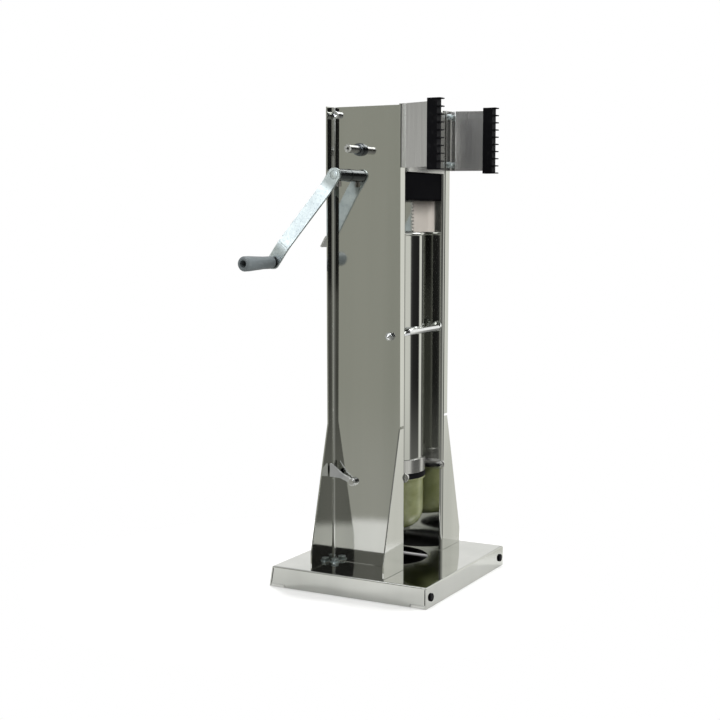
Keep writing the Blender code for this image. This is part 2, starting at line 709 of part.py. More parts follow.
def rubber_strip(frame, side, name):
    """A ribbed rubber block pushed on the wing's edge."""
    low, high = WING_BOTTOM - STRIP_OVERHANG, COLUMN_TOP + STRIP_OVERHANG
    front = WING_END_Y - STRIP_DEPTH
    half = STRIP_WIDTH / 2
    block = object_from(box((-half, front, low), (half, WING_END_Y, high)), f"rubber_strip_{name}",
                        "black_rubber", frame, (side * WING_END_X, 0, 0))
    slot = COVER_SHEET / 2 + GAP
    cut(block, box((-slot, WING_END_Y - WING_TONGUE - GAP, WING_BOTTOM - GAP),
                   (slot, WING_END_Y + OVERRUN, COLUMN_TOP + GAP)), (side * WING_END_X, 0, 0))
    pitch = (high - low - RIB_THICKNESS) / (RIB_COUNT - 1)
    for rib in range(RIB_COUNT):
        z = low + rib * pitch
        join(block, box((-half, front - RIB_STAND, z), (half, front + RIB_THICKNESS, z + RIB_THICKNESS)),
             (side * WING_END_X, 0, 0))
    return block


def bush(frame, side, name, y, z):
    """A flanged bush that carries a shaft in a panel."""
    bore = SHAFT_RADIUS + GAP
    outer = BUSH_RADIUS - BUSH_FLANGE
    profile = [
        (bore, -PANEL_SHEET - BUSH_STAND), (outer, -PANEL_SHEET - BUSH_STAND), (outer, GAP),
        (BUSH_RADIUS, GAP), (BUSH_RADIUS, BUSH_STAND), (bore, BUSH_STAND),
    ]
    made = on_side(turned(profile, "X", SMALL_SIDES, closed=True), side)
    return object_from(made, f"bush_{name}", "black_paint", frame, (side * PANEL_OUTER, y, z))


def bearing_cheek(frame):
    """An inner plate standing on the housing floor that carries the inner end of the upper shaft."""
    low = HEAD_FLOOR + COVER_SHEET + GAP
    radius = CHEEK_MARGIN
    outline = [(UPPER_Y - radius, low), (LOWER_Y + radius, low), (LOWER_Y + radius, LOWER_Z)]
    outline += arc((LOWER_Y, LOWER_Z), radius, 0, UPPER_ANGLE - math.pi / 2, 3)[1:]
    outline += arc((UPPER_Y, UPPER_Z), radius, UPPER_ANGLE - math.pi / 2, math.pi, 8)
    plate = object_from(prism(outline, "YZ", -CHEEK_PLACE - CHEEK_THICKNESS, -CHEEK_PLACE),
                        "bearing_cheek", "satin_steel", frame)
    for y, z in ((LOWER_Y, LOWER_Z), (UPPER_Y, UPPER_Z)):
        cut(plate, prism(circle((y, z), SHAFT_RADIUS + GAP), "YZ",
                         -CHEEK_PLACE - OVERRUN, -CHEEK_PLACE + OVERRUN))
    return plate


def rack_guide(frame):
    """A plastic block that backs the rack against the pinion's push."""
    low = HEAD_FLOOR + COVER_SHEET + GAP
    block = box((-GUIDE_WIDTH / 2, RACK_FRONT_Y - GAP - GUIDE_DEPTH, low),
                (GUIDE_WIDTH / 2, RACK_FRONT_Y - GAP, COLUMN_TOP - GUIDE_DROP))
    return object_from(block, "rack_guide", "white_plastic", frame)


def tie_bar(frame):
    y, z = COLUMN_BACK - TIE_INSET_Y, COLUMN_TOP - TIE_DROP
    object_from(rod(TIE_RADIUS, -PANEL_OUTER - GAP, PANEL_OUTER + GAP, "X", BOLT_SIDES), "tie_bar",
                "satin_steel", frame, (0, y, z))
    for side, name in ((NEAR, "near"), (FAR, "far")):
        profile = [
            (0, GAP), (TIE_HEAD_RADIUS, GAP), (TIE_HEAD_RADIUS, TIE_HEAD_HEIGHT - EDGE_BREAK),
            (TIE_HEAD_RADIUS - EDGE_BREAK, TIE_HEAD_HEIGHT), (TIE_SOCKET_RADIUS, TIE_HEAD_HEIGHT),
            (TIE_SOCKET_RADIUS, TIE_HEAD_HEIGHT - TIE_SOCKET_DEPTH), (0, TIE_HEAD_HEIGHT - TIE_SOCKET_DEPTH),
        ]
        head = on_side(turned(profile, "X", SMALL_SIDES), side)
        object_from(head, f"tie_bolt_{name}", "chrome", frame, (side * (PANEL_OUTER + GAP), y, z))


# Cylinder group
def cylinder(frame):
    outer, inner, rim = CYLINDER_RADIUS, BORE_RADIUS, CYLINDER_RADIUS + RIM_STAND
    profile = [
        (inner, CYLINDER_BOTTOM), (outer, CYLINDER_BOTTOM), (outer, CYLINDER_TOP - RIM_HEIGHT),
        (rim - RIM_EDGE, CYLINDER_TOP - RIM_HEIGHT), (rim, CYLINDER_TOP - RIM_HEIGHT + RIM_LIP),
        (rim, CYLINDER_TOP - RIM_LIP), (rim - RIM_EDGE, CYLINDER_TOP), (inner, CYLINDER_TOP),
    ]
    return object_from(turned(profile, "Z", closed=True), "cylinder", "mirror_steel", frame, (0, AXIS_Y, 0))


def cylinder_handle(frame):
    """A bent tab under the rim at the back, turned down at its end, for tilting the cylinder out."""
    start = AXIS_Y + CYLINDER_RADIUS + GAP + HANDLE_THICKNESS / 2
    knee = (start + HANDLE_REACH, HANDLE_HEIGHT + HANDLE_RISE)
    outline = folded(
        [(start, HANDLE_HEIGHT - HANDLE_PLATE), (start, HANDLE_HEIGHT), knee,
         (knee[0] + HANDLE_LIP, knee[1] - HANDLE_DROP)],
        HANDLE_THICKNESS, HANDLE_BEND,
    )
    handle = object_from(prism(outline, "YZ", -HANDLE_WIDTH / 2, HANDLE_WIDTH / 2), "cylinder_handle",
                         "satin_steel", frame)
    low = knee[1] - HANDLE_DROP - HANDLE_THICKNESS
    half = HANDLE_WIDTH / 2 + GAP
    edge = HANDLE_HEIGHT + HANDLE_RISE + HANDLE_CORNER * 2
    front = rounded([(-half, low), (half, low), (half, edge), (-half, edge)], HANDLE_CORNER)
    keeper = prism(front, "XZ", start - OVERRUN, knee[0] + HANDLE_LIP + OVERRUN)
    return combine(handle, keeper, "INTERSECT")


def cylinder_ring(frame):
    """The band round the cylinder's foot, with a lug each side that the hinge pins carry."""
    inner, outer = CYLINDER_RADIUS + GAP, CYLINDER_RADIUS + RING_STAND
    top = CYLINDER_BOTTOM + RING_HEIGHT
    profile = [(inner, CYLINDER_BOTTOM), (outer, CYLINDER_BOTTOM), (outer, top), (inner, top)]
    band = turned(profile, "Z", closed=True)
    ring = object_from(band, "cylinder_ring", "satin_steel", frame, (0, AXIS_Y, 0))
    lug_outer = PANEL_INNER - EAR_THICKNESS - 3 * GAP
    for side in (NEAR, FAR):
        xs = sorted((side * lug_outer, side * (lug_outer - LUG_THICKNESS)))
        outline = arc((EAR_Y, EAR_HEIGHT), LUG_RADIUS, math.pi / 2, math.pi * 3 / 2, 8)
        reach = AXIS_Y - CYLINDER_RADIUS * LUG_REACH_SHARE
        outline += [(reach, EAR_HEIGHT - LUG_RADIUS), (reach, EAR_HEIGHT + LUG_RADIUS)]
        join(ring, prism(outline, "YZ", xs[0], xs[1]))
        arm = sorted((side * (lug_outer - LUG_THICKNESS / 2), side * CYLINDER_RADIUS * LUG_ARM_SHARE))
        join(ring, box((arm[0], reach - LUG_THICKNESS, CYLINDER_BOTTOM),
                       (arm[1], reach, EAR_HEIGHT + LUG_RADIUS)))
        cut(ring, prism(circle((EAR_Y, EAR_HEIGHT), EAR_PIN_RADIUS + GAP), "YZ",
                        xs[0] - OVERRUN, xs[1] + OVERRUN))
    cut(ring, rod(inner, CYLINDER_BOTTOM - OVERRUN, top + OVERRUN, "Z", ROUND_SIDES), (0, AXIS_Y, 0))
    return ring


def gasket(frame):
    high = CYLINDER_BOTTOM - GAP
    low = high - GASKET_HEIGHT
    outer = CYLINDER_RADIUS + RING_STAND
    inner = CYLINDER_RADIUS - GASKET_WIDTH
    profile = [(inner, low), (outer, low), (outer, high), (inner, high)]
    return object_from(turned(profile, "Z", closed=True), "cylinder_gasket", "black_rubber", frame,
                       (0, AXIS_Y, 0))


def funnel(frame):
    """The plastic bowl below the cylinder, with the outlet hole in its floor."""
    top = CYLINDER_BOTTOM - 2 * GAP - GASKET_HEIGHT
    wide = CYLINDER_RADIUS
    corner_z = FUNNEL_BOTTOM + FUNNEL_CORNER
    outer = [(wide + RING_STAND, top), (wide + RING_STAND, top - FUNNEL_FLANGE), (wide, top - FUNNEL_FLANGE)]
    outer += arc((wide - FUNNEL_CORNER, corner_z), FUNNEL_CORNER, 0, -math.pi / 2, 6)
    outer.append((FUNNEL_HOLE_RADIUS, FUNNEL_BOTTOM - FUNNEL_DISH))
    inner_corner = FUNNEL_CORNER - FUNNEL_WALL
    inner = [(FUNNEL_HOLE_RADIUS, FUNNEL_BOTTOM - FUNNEL_DISH + FUNNEL_WALL)]
    inner += arc((wide - FUNNEL_CORNER, corner_z), inner_corner, -math.pi / 2, 0, 6)
    inner.append((wide - FUNNEL_WALL, top))
    return object_from(turned(outer + inner, "Z", closed=True), "outlet_funnel", "funnel_plastic", frame,
                       (0, AXIS_Y, 0))


def ears(frame):
    """Fixed ears inside the panels, and the pins that carry the cylinder ring's lugs."""
    for side, name in ((NEAR, "near"), (FAR, "far")):
        outer = PANEL_INNER - GAP
        xs = sorted((side * outer, side * (outer - EAR_THICKNESS)))
        outline = arc((EAR_Y, EAR_HEIGHT), EAR_RADIUS, math.pi / 2, math.pi * 3 / 2, 8)
        outline += [(EAR_Y + EAR_ROOT, EAR_HEIGHT - EAR_RADIUS), (EAR_Y + EAR_ROOT, EAR_HEIGHT + EAR_RADIUS)]
        ear = object_from(prism(outline, "YZ", xs[0], xs[1]), f"hinge_ear_{name}", "satin_steel", frame)
        cut(ear, prism(circle((EAR_Y, EAR_HEIGHT), EAR_PIN_RADIUS + GAP), "YZ",
                       xs[0] - OVERRUN, xs[1] + OVERRUN))
        start = outer - EAR_THICKNESS - 3 * GAP - LUG_THICKNESS - EAR_HEAD_THICKNESS
        neck = start + EAR_HEAD_THICKNESS - GAP
        profile = [
            (0, start), (EAR_HEAD_RADIUS, start), (EAR_HEAD_RADIUS, neck), (EAR_PIN_RADIUS, neck),
            (EAR_PIN_RADIUS, outer), (0, outer),
        ]
        pin = on_side(turned(profile, "X", BOLT_SIDES), side)
        object_from(pin, f"hinge_pin_{name}", "chrome", frame, (0, EAR_Y, EAR_HEIGHT))


def cradle_rod(frame):
    """A bent chrome rod across the front that the cylinder lies on, with a cap nut at each end."""
    front_y = AXIS_Y - CYLINDER_RADIUS - GAP - ROD_RADIUS
    end_x = PANEL_OUTER + NUT_HEIGHT - CAP_WEB - GAP
    slope_x = PANEL_OUTER - ROD_SLOPE_INSET
    half = [
        Vector((end_x, ROD_END_Y, ROD_END_HEIGHT)),
        Vector((PANEL_INNER, ROD_END_Y, ROD_END_HEIGHT)),
        Vector((slope_x + ROD_RADIUS, ROD_END_Y, ROD_END_HEIGHT)),
        Vector((slope_x - ROD_RADIUS, front_y, ROD_HEIGHT)),
        Vector((0, front_y, ROD_HEIGHT)),
    ]
    points = [Vector((-p.x, p.y, p.z)) for p in half] + half[-2::-1]
    curve = bpy.data.curves.new("cradle_rod", "CURVE")
    curve.dimensions = "3D"
    curve.bevel_depth = ROD_RADIUS
    curve.bevel_resolution = 2
    curve.use_fill_caps = True
    spline = curve.splines.new("POLY")
    spline.points.add(len(points) - 1)
    for spot, point in zip(spline.points, points):
        spot.co = (*point, 1)
    made = bpy.data.objects.new("cradle_rod", curve)
    curve.materials.append(material("chrome"))
    made.parent = frame
    bpy.context.collection.objects.link(made)
    for side, name in ((NEAR, "near"), (FAR, "far")):
        bore, bore_end = ROD_RADIUS + GAP, NUT_HEIGHT - CAP_WEB
        profile = [
            (0, bore_end), (bore, bore_end), (bore, GAP), (NUT_RADIUS, GAP),
            (NUT_RADIUS, NUT_HEIGHT), (CAP_RADIUS, NUT_HEIGHT),
            (CAP_SHOULDER_RADIUS, NUT_HEIGHT + CAP_SHOULDER_HEIGHT), (0, NUT_HEIGHT + CAP_RADIUS),
        ]
        nut = on_side(turned(profile, "X", BOLT_SIDES), side)
        object_from(nut, f"cap_nut_{name}", "chrome", frame,
                    (side * PANEL_OUTER, ROD_END_Y, ROD_END_HEIGHT))


# Latches
def latch(frame, side, name):
    """A thumb lever on the panel, fishtailed at its free end, with the pin it turns on."""
    axis = empty(f"latch_axis_{name}", (side * PANEL_OUTER, LATCH_Y, LATCH_Z), frame)
    near_face, far_face = GAP, GAP + LATCH_BOSS_THICKNESS
    bore = LATCH_PIN_RADIUS + GAP
    outer = LATCH_BOSS_RADIUS
    boss = [(bore, near_face), (outer, near_face), (outer, far_face), (bore, far_face)]
    lever_mesh = turned(boss, "X", SMALL_SIDES, closed=True)
    lever = object_from(on_side(lever_mesh, side), f"latch_lever_{name}", "chrome", axis)
    middle = (near_face + far_face) / 2
    end = Vector((LATCH_END_Y - LATCH_Y, (LATCH_END_LOW + LATCH_END_HIGH) / 2 - LATCH_Z))
    along = end.normalized()
    across = Vector((-along.y, along.x)) * LATCH_NECK / 2
    root, neck = along * LATCH_ROOT, end * LATCH_NECK_SHARE
    half_end = Vector((0, (LATCH_END_HIGH - LATCH_END_LOW) / 2))
    inset = Vector((LATCH_PLATE, 0))
    outline = [root - across, neck - across, end - half_end - inset, end - half_end,
               end + half_end, end + half_end - inset, neck + across, root + across]
    outline = [tuple(point) for point in outline]
    blade = prism(outline, "YZ", middle - LATCH_PLATE / 2, middle + LATCH_PLATE / 2)
    for vert in blade.verts:
        vert.co.x += LATCH_FLARE * max(0, vert.co.y - root.x) / (end.x - root.x)
    join(lever, on_side(blade, side))
    inner = -PANEL_SHEET - LATCH_PIN_RADIUS
    head = far_face + GAP
    profile = [
        (0, inner), (LATCH_PIN_RADIUS, inner), (LATCH_PIN_RADIUS, head), (LATCH_PIN_HEAD, head),
        (LATCH_PIN_HEAD, head + LATCH_PIN_HEAD_HEIGHT), (0, head + LATCH_PIN_HEAD_HEIGHT),
    ]
    pin = on_side(turned(profile, "X", BOLT_SIDES), side)
    object_from(pin, f"latch_pin_{name}", "satin_steel", frame, (side * PANEL_OUTER, LATCH_Y, LATCH_Z))


# Rack and piston
def rack_and_piston(frame):
    way = empty("rack_way", (0, 0, 0), frame)
    half = RACK_WIDTH / 2
    section = [
        (-half, RACK_TIP_Y), (-half, RACK_FRONT_Y + RACK_CHAMFER), (-half + RACK_CHAMFER, RACK_FRONT_Y),
        (half - RACK_CHAMFER, RACK_FRONT_Y), (half, RACK_FRONT_Y + RACK_CHAMFER), (half, RACK_TIP_Y),
    ]
    low = PISTON_TOP + GAP
    rack = object_from(prism(section, "XY", low, RACK_TOP), "rack", "rack_steel", way)
    slope = math.tan(PRESSURE_ANGLE)
    root_y = RACK_PITCH_Y - DEDENDUM_SHARE * MODULE
    past_y = RACK_TIP_Y + OVERRUN
    half_gap = (TOOTH_PITCH + BACKLASH) / 4
    first = math.ceil((low + PISTON_BOSS_HEIGHT + RACK_TOOTH_START - LOWER_Z) / TOOTH_PITCH)
    last = math.floor((RACK_TOP - LOWER_Z) / TOOTH_PITCH)
    outline = []
    for tooth in range(first, last):
        middle = LOWER_Z + (tooth + 0.5) * TOOTH_PITCH
        mouth = half_gap + ADDENDUM_SHARE * MODULE * slope
        floor_half = half_gap - DEDENDUM_SHARE * MODULE * slope
        outline += [(RACK_TIP_Y + GAP, middle - mouth), (root_y, middle - floor_half),
                    (root_y, middle + floor_half), (RACK_TIP_Y + GAP, middle + mouth)]
    outline += [(past_y, outline[-1][1]), (past_y, outline[0][1])]
    cut(rack, prism(outline, "YZ", -RACK_WIDTH, RACK_WIDTH))

    wall = BORE_RADIUS - PISTON_PLAY
    seal_low = PISTON_BOTTOM + (PISTON_HEIGHT - SEAL_HEIGHT) / 2
    seal_high = seal_low + SEAL_HEIGHT
    groove = wall - SEAL_DEPTH
    profile = [
        (0, PISTON_BOTTOM), (wall, PISTON_BOTTOM), (wall, seal_low - GAP), (groove, seal_low - GAP),
        (groove, seal_high + GAP), (wall, seal_high + GAP), (wall, PISTON_TOP), (0, PISTON_TOP),
    ]
    piston = object_from(turned(profile, "Z"), "piston", "satin_steel", way, (0, AXIS_Y, 0))
    boss_y = (RACK_FRONT_Y + RACK_TIP_Y) / 2 - AXIS_Y
    boss_top = PISTON_TOP + PISTON_BOSS_HEIGHT
    boss = rod(PISTON_BOSS_RADIUS, PISTON_TOP - COVER_SHEET, boss_top, "Z", MEDIUM_SIDES)
    join(piston, boss, (0, AXIS_Y + boss_y, 0))
    socket = box((-half - GAP, RACK_FRONT_Y - GAP, PISTON_TOP),
                 (half + GAP, RACK_TIP_Y + GAP, boss_top + OVERRUN))
    cut(piston, socket)

    seal_outer = BORE_RADIUS - GAP
    seal_inner = groove + GAP
    seal_middle = (seal_low + seal_high) / 2
    seal = [(seal_inner, seal_low), (wall, seal_low), (seal_outer, seal_middle), (wall, seal_high),
            (seal_inner, seal_high)]
    object_from(turned(seal, "Z", closed=True), "piston_seal", "black_rubber", way, (0, AXIS_Y, 0))
    bolt_top = PISTON_BOTTOM - GAP
    bolt = rod(PISTON_BOLT_RADIUS, bolt_top - PISTON_BOLT_HEIGHT, bolt_top, "Z", HEX_SIDES)
    object_from(bolt, "piston_bolt", "satin_steel", way, (0, AXIS_Y, 0))


# Shafts, gears and crank
def lower_shaft_group(frame):
    axis = empty("crank_axis", (0, LOWER_Y, LOWER_Z), frame)
    inner_end = PANEL_OUTER + FAR_SHAFT_STAND
    outer_end = CRANK_PLANE + CRANK_BAR
    object_from(rod(SHAFT_RADIUS, -outer_end, inner_end), "lower_shaft", "satin_steel", axis)

    bore = SHAFT_RADIUS + GAP
    pinion = object_from(
        prism(gear_outline(PINION_TEETH, math.pi + math.pi / PINION_TEETH), "YZ",
              -PINION_WIDTH / 2, PINION_WIDTH / 2),
        "rack_pinion", "gear_steel", axis)
    cut(pinion, rod(bore, -PINION_WIDTH, PINION_WIDTH))
    wheel = object_from(
        prism(gear_outline(WHEEL_TEETH, UPPER_ANGLE), "YZ",
              -WHEEL_MIDDLE - WHEEL_WIDTH / 2, -WHEEL_MIDDLE + WHEEL_WIDTH / 2),
        "large_gear", "gear_steel", axis)
    cut(wheel, rod(bore, -WHEEL_MIDDLE - WHEEL_WIDTH, -WHEEL_MIDDLE + WHEEL_WIDTH))

    hub_start = PANEL_OUTER + BUSH_STAND + GAP
    hub_end = CRANK_PLANE - GAP
    hub = object_from(turned(
        [(bore, -hub_end), (HUB_RADIUS, -hub_end), (HUB_RADIUS, -hub_start), (bore, -hub_start)],
        "X", MEDIUM_SIDES, closed=True), "crank_hub", "black_paint", axis)
    screw_x = -(hub_end - SET_SCREW_INSET)
    cut(hub, rod(SET_SCREW_STEM + GAP, -HUB_RADIUS - OVERRUN, 0, "Z", BOLT_SIDES), (screw_x, 0, 0))
    head_start = -HUB_RADIUS - GAP
    screw_mesh = turned(
        [(0, -bore - GAP), (SET_SCREW_STEM, -bore - GAP), (SET_SCREW_STEM, head_start),
         (SET_SCREW_RADIUS, head_start), (SET_SCREW_RADIUS, head_start - SET_SCREW_HEIGHT),
         (0, head_start - SET_SCREW_HEIGHT)], "Z", BOLT_SIDES)
    object_from(screw_mesh, "hub_set_screw", "gear_steel", axis, (screw_x, 0, 0))

    crank_arm(axis)
    return axis


def crank_arm(axis):
    """A flat bar with a jog outward, drawn along its length and then cut to a round-ended width."""
    middle = -(CRANK_PLANE + CRANK_BAR / 2)
    outer = middle - CRANK_JOG
    end = CRANK_REACH + CRANK_HALF_WIDTH
    line = [
        (middle, CRANK_HALF_WIDTH), (middle, -CRANK_REACH * CRANK_JOG_START_SHARE),
        (outer, -CRANK_REACH * CRANK_JOG_END_SHARE), (outer, -end),
    ]
    bar = prism(folded(line, CRANK_BAR, CRANK_BEND), "XZ", -CRANK_HALF_WIDTH, CRANK_HALF_WIDTH)
    arm = object_from(bar, "crank_arm", "zinc_steel", axis)
    rounding = arc((0, 0), CRANK_HALF_WIDTH, 0, math.pi, 12)
    rounding += arc((0, -CRANK_REACH), CRANK_HALF_WIDTH, math.pi, math.tau, 12)
    keeper = prism(rounding, "YZ", outer - OVERRUN, middle + OVERRUN)
    combine(arm, keeper, "INTERSECT")
    cut(arm, rod(SHAFT_RADIUS + GAP, middle - OVERRUN, middle + OVERRUN))
    cut(arm, rod(GRIP_BOLT_RADIUS + GAP, outer - OVERRUN, outer + OVERRUN), (0, 0, -CRANK_REACH))
    for item in [arm] + [modifier.object for modifier in arm.modifiers]:
        place = Matrix.Rotation(CRANK_LEAN, 4, "X") @ Matrix.Translation(item.location)
        item.matrix_basis = place


def grip_group(axis):
    y = CRANK_REACH * math.sin(CRANK_LEAN)
    z = -CRANK_REACH * math.cos(CRANK_LEAN)
    spin = empty("grip_axis", (0, y, z), axis)
    bar_face = GRIP_PLANE
    collar_end = bar_face + GAP + COLLAR_LENGTH
    head_at = collar_end + GRIP_LENGTH * (1 - GRIP_BORE_SHARE) + GAP
    nut_face = bar_face - CRANK_BAR - GAP
    profile = [
        (0, -nut_face + GRIP_BOLT_RADIUS), (GRIP_BOLT_HEAD, -nut_face + GRIP_BOLT_RADIUS),
        (GRIP_BOLT_HEAD, -nut_face), (GRIP_BOLT_RADIUS, -nut_face), (GRIP_BOLT_RADIUS, -head_at),
        (GRIP_BOLT_HEAD, -head_at), (GRIP_BOLT_HEAD, -head_at - GRIP_BOLT_HEAD_LENGTH),
        (0, -head_at - GRIP_BOLT_HEAD_LENGTH),
    ]
    object_from(turned(profile, "X", 16), "grip_bolt", "gear_steel", axis, (0, y, z))
    collar = [
        (GRIP_BOLT_RADIUS + GAP, -bar_face - GAP), (COLLAR_RADIUS, -bar_face - GAP),
        (COLLAR_RADIUS, -collar_end), (GRIP_BOLT_RADIUS + GAP, -collar_end),
    ]
    washer = turned(collar, "X", MEDIUM_SIDES, closed=True)
    object_from(washer, "grip_collar", "black_rubber", axis, (0, y, z))
    start = collar_end + GAP
    end = collar_end + GRIP_LENGTH
    bore = GRIP_BOLT_HEAD + GAP
    outline = [
        (GRIP_BOLT_RADIUS + GAP, -start), (GRIP_NECK - GRIP_NECK_EDGE, -start),
        (GRIP_NECK, -start - GRIP_NECK_EDGE),
        (GRIP_NECK, -start - GRIP_LENGTH * GRIP_TAPER_SHARES[0]),
        (GRIP_RADIUS, -start - GRIP_LENGTH * GRIP_TAPER_SHARES[1]),
        (GRIP_RADIUS, -end + GRIP_END_ROUND), (GRIP_SHOULDER, -end + GRIP_END_EDGE), (GRIP_FACE, -end),
        (bore, -end), (bore, -head_at + GAP), (GRIP_BOLT_RADIUS + GAP, -head_at + GAP),
    ]
    object_from(turned(outline, "X", MEDIUM_SIDES, closed=True), "crank_grip", "grey_plastic", spin)


def upper_shaft_group(frame):
    axis = empty("upper_axis", (0, UPPER_Y, UPPER_Z), frame)
    outer_end = PANEL_OUTER + UPPER_SHAFT_REACH
    profile = [
        (0, -UPPER_SHAFT_INNER), (SHAFT_RADIUS, -UPPER_SHAFT_INNER), (SHAFT_RADIUS, -outer_end),
        (UPPER_HOLE_RADIUS, -outer_end), (UPPER_HOLE_RADIUS, -outer_end + UPPER_HOLE_DEPTH),
        (0, -outer_end + UPPER_HOLE_DEPTH),
    ]
    object_from(turned(profile, "X", ROUND_SIDES), "upper_shaft", "satin_steel", axis)
    bore = SHAFT_RADIUS + GAP
    facing = UPPER_ANGLE + math.pi
    gear = object_from(
        prism(gear_outline(SMALL_TEETH, facing + math.pi / SMALL_TEETH), "YZ",
              -WHEEL_MIDDLE - SMALL_GEAR_WIDTH / 2, -WHEEL_MIDDLE + SMALL_GEAR_WIDTH / 2),
        "small_gear", "gear_steel", axis)
    cut(gear, rod(bore, -WHEEL_MIDDLE - WHEEL_WIDTH, -WHEEL_MIDDLE + WHEEL_WIDTH))


# Assembly
def stand_on_footprint_centre(frame):
    """Moves the whole so that the centre of its box's floor lies on the world origin."""
    bpy.context.view_layer.update()
    graph = bpy.context.evaluated_depsgraph_get()
    low, high = Vector((math.inf,) * 3), Vector((-math.inf,) * 3)
    for item in bpy.context.scene.objects:
        if item.type == "EMPTY" or item.hide_render:
            continue
        drawn = item.evaluated_get(graph)
        mesh = drawn.to_mesh()
        for vert in mesh.vertices:
            spot = drawn.matrix_world @ vert.co
            low = Vector(map(min, low, spot))
            high = Vector(map(max, high, spot))
        drawn.to_mesh_clear()
    frame.location = (-(low.x + high.x) / 2, -(low.y + high.y) / 2, -low.z)
    bpy.context.view_layer.update()
    print("size", [round(side, 4) for side in high - low], "moved", [round(v, 5) for v in frame.location])


def build():
    clear_scene()
    frame = empty("stuffer", (0, 0, 0))
    base_tray(frame)
    corner_pads(frame)
    lying_feet(frame)
    gear_housing(frame)
    head_covers(frame)
    for side, name in ((NEAR, "near"), (FAR, "far")):
        side_panel(frame, side, f"side_panel_{name}")
        rest_wing(frame, side, name)
        rubber_strip(frame, side, name)
        latch(frame, side, name)
    bush(frame, NEAR, "lower_near", LOWER_Y, LOWER_Z)
    bush(frame, NEAR, "upper_near", UPPER_Y, UPPER_Z)
    bush(frame, FAR, "lower_far", LOWER_Y, LOWER_Z)
    bearing_cheek(frame)
    rack_guide(frame)
    tie_bar(frame)
    cylinder(frame)
    cylinder_handle(frame)
    cylinder_ring(frame)
    gasket(frame)
    funnel(frame)
    ears(frame)
    cradle_rod(frame)
    rack_and_piston(frame)
    grip_group(lower_shaft_group(frame))
    upper_shaft_group(frame)
    stand_on_footprint_centre(frame)


build()
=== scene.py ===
# %% [markdown]
# # A tall hand-cranked sausage stuffer, dressed for its portrait
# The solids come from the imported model. This file gives them their finishes, rounds their edges, and adds
# the small fittings whose shape only shows close up. It is written in cells, to be read from top to
# bottom.

# %% The frame that everything is built around
import json
import math

import bmesh
import bpy
from mathutils import Matrix, Vector


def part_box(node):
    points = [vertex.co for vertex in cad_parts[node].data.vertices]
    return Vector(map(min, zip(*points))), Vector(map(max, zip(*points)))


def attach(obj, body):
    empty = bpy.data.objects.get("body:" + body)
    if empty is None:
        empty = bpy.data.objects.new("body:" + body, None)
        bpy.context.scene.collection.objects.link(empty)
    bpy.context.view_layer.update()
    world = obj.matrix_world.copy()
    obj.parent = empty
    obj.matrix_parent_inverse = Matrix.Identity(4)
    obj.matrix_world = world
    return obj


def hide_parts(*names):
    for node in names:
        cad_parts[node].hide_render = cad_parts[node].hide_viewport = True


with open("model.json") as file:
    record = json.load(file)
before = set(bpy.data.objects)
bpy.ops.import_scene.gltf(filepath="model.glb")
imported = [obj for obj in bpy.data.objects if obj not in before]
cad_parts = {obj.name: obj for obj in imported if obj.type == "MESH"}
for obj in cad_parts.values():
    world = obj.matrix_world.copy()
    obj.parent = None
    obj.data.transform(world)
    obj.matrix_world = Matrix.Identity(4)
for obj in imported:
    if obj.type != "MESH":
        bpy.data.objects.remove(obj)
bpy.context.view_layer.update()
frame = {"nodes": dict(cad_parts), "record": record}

record = frame["record"]
slot_of = {row["node"]: row["material_slot"] for row in record["subparts"]}
body_of = {node: body for body, nodes in record["behaviour"]["bodies"].items() for node in nodes}

# %% [markdown]
# ## Where the photographer stood
# The camera was worked out from the straight edges of the base and the column. It stands to the left of
# the open front, a little over two metres away, and looks slightly down. A long lens keeps the column
# upright.

# %% Camera
VIEW_FROM = Vector((-2.0702, -1.0844, 0.6460))
VIEW_TURN, VIEW_TILT, VIEW_ROLL = 1.0746, -0.1065, 0.0012
PICTURE_WIDTH = 720
FOCAL_PIXELS = 1336.5
SENSOR = 36


def aim_camera():
    outward = math.cos(VIEW_TILT)
    ahead = Vector((math.sin(VIEW_TURN) * outward, math.cos(VIEW_TURN) * outward, math.sin(VIEW_TILT)))
    level = Vector((math.cos(VIEW_TURN), -math.sin(VIEW_TURN), 0))
    upright = level.cross(ahead)
    right = level * math.cos(VIEW_ROLL) + upright * math.sin(VIEW_ROLL)
    above = upright * math.cos(VIEW_ROLL) - level * math.sin(VIEW_ROLL)
    lens = bpy.data.cameras.new("portrait")
    lens.sensor_width = SENSOR
    lens.lens = FOCAL_PIXELS * SENSOR / PICTURE_WIDTH
    camera = bpy.data.objects.new("portrait", lens)
    turn = Matrix((right, above, -ahead)).transposed()
    camera.matrix_world = Matrix.Translation(VIEW_FROM) @ turn.to_4x4()
    bpy.context.scene.collection.objects.link(camera)
    bpy.context.scene.camera = camera
    return camera


camera = aim_camera()
bpy.context.scene.view_settings.view_transform = "Standard"
print("lens", round(camera.data.lens, 2), "mm")

# %% [markdown]
# ## A small language for finishes
# Every finish below is noise that is stretched, cut to a band and mixed. Shader maths reads best as sums,
# so `Value` wraps a node's output, and `1 - mask` adds its own Math node. `Bench.node` adds any other
# node from its type, its settings and what goes into its sockets.

# %% Sums made of nodes
class Value:
    """A node's output that can take part in a sum."""

    def __init__(self, bench, socket):
        self.bench = bench
        self.socket = socket

    def math(self, operation, *others, swap=False):
        terms = [*others, self] if swap else [self, *others]
        return self.bench.node("ShaderNodeMath", {"operation": operation}, dict(enumerate(terms)))

    def __add__(self, other):
        return self.math("ADD", other)

    def __sub__(self, other):
        return self.math("SUBTRACT", other)

    def __rsub__(self, other):
        return self.math("SUBTRACT", other, swap=True)

    def __mul__(self, other):
        return self.math("MULTIPLY", other)

    __radd__ = __add__
    __rmul__ = __mul__


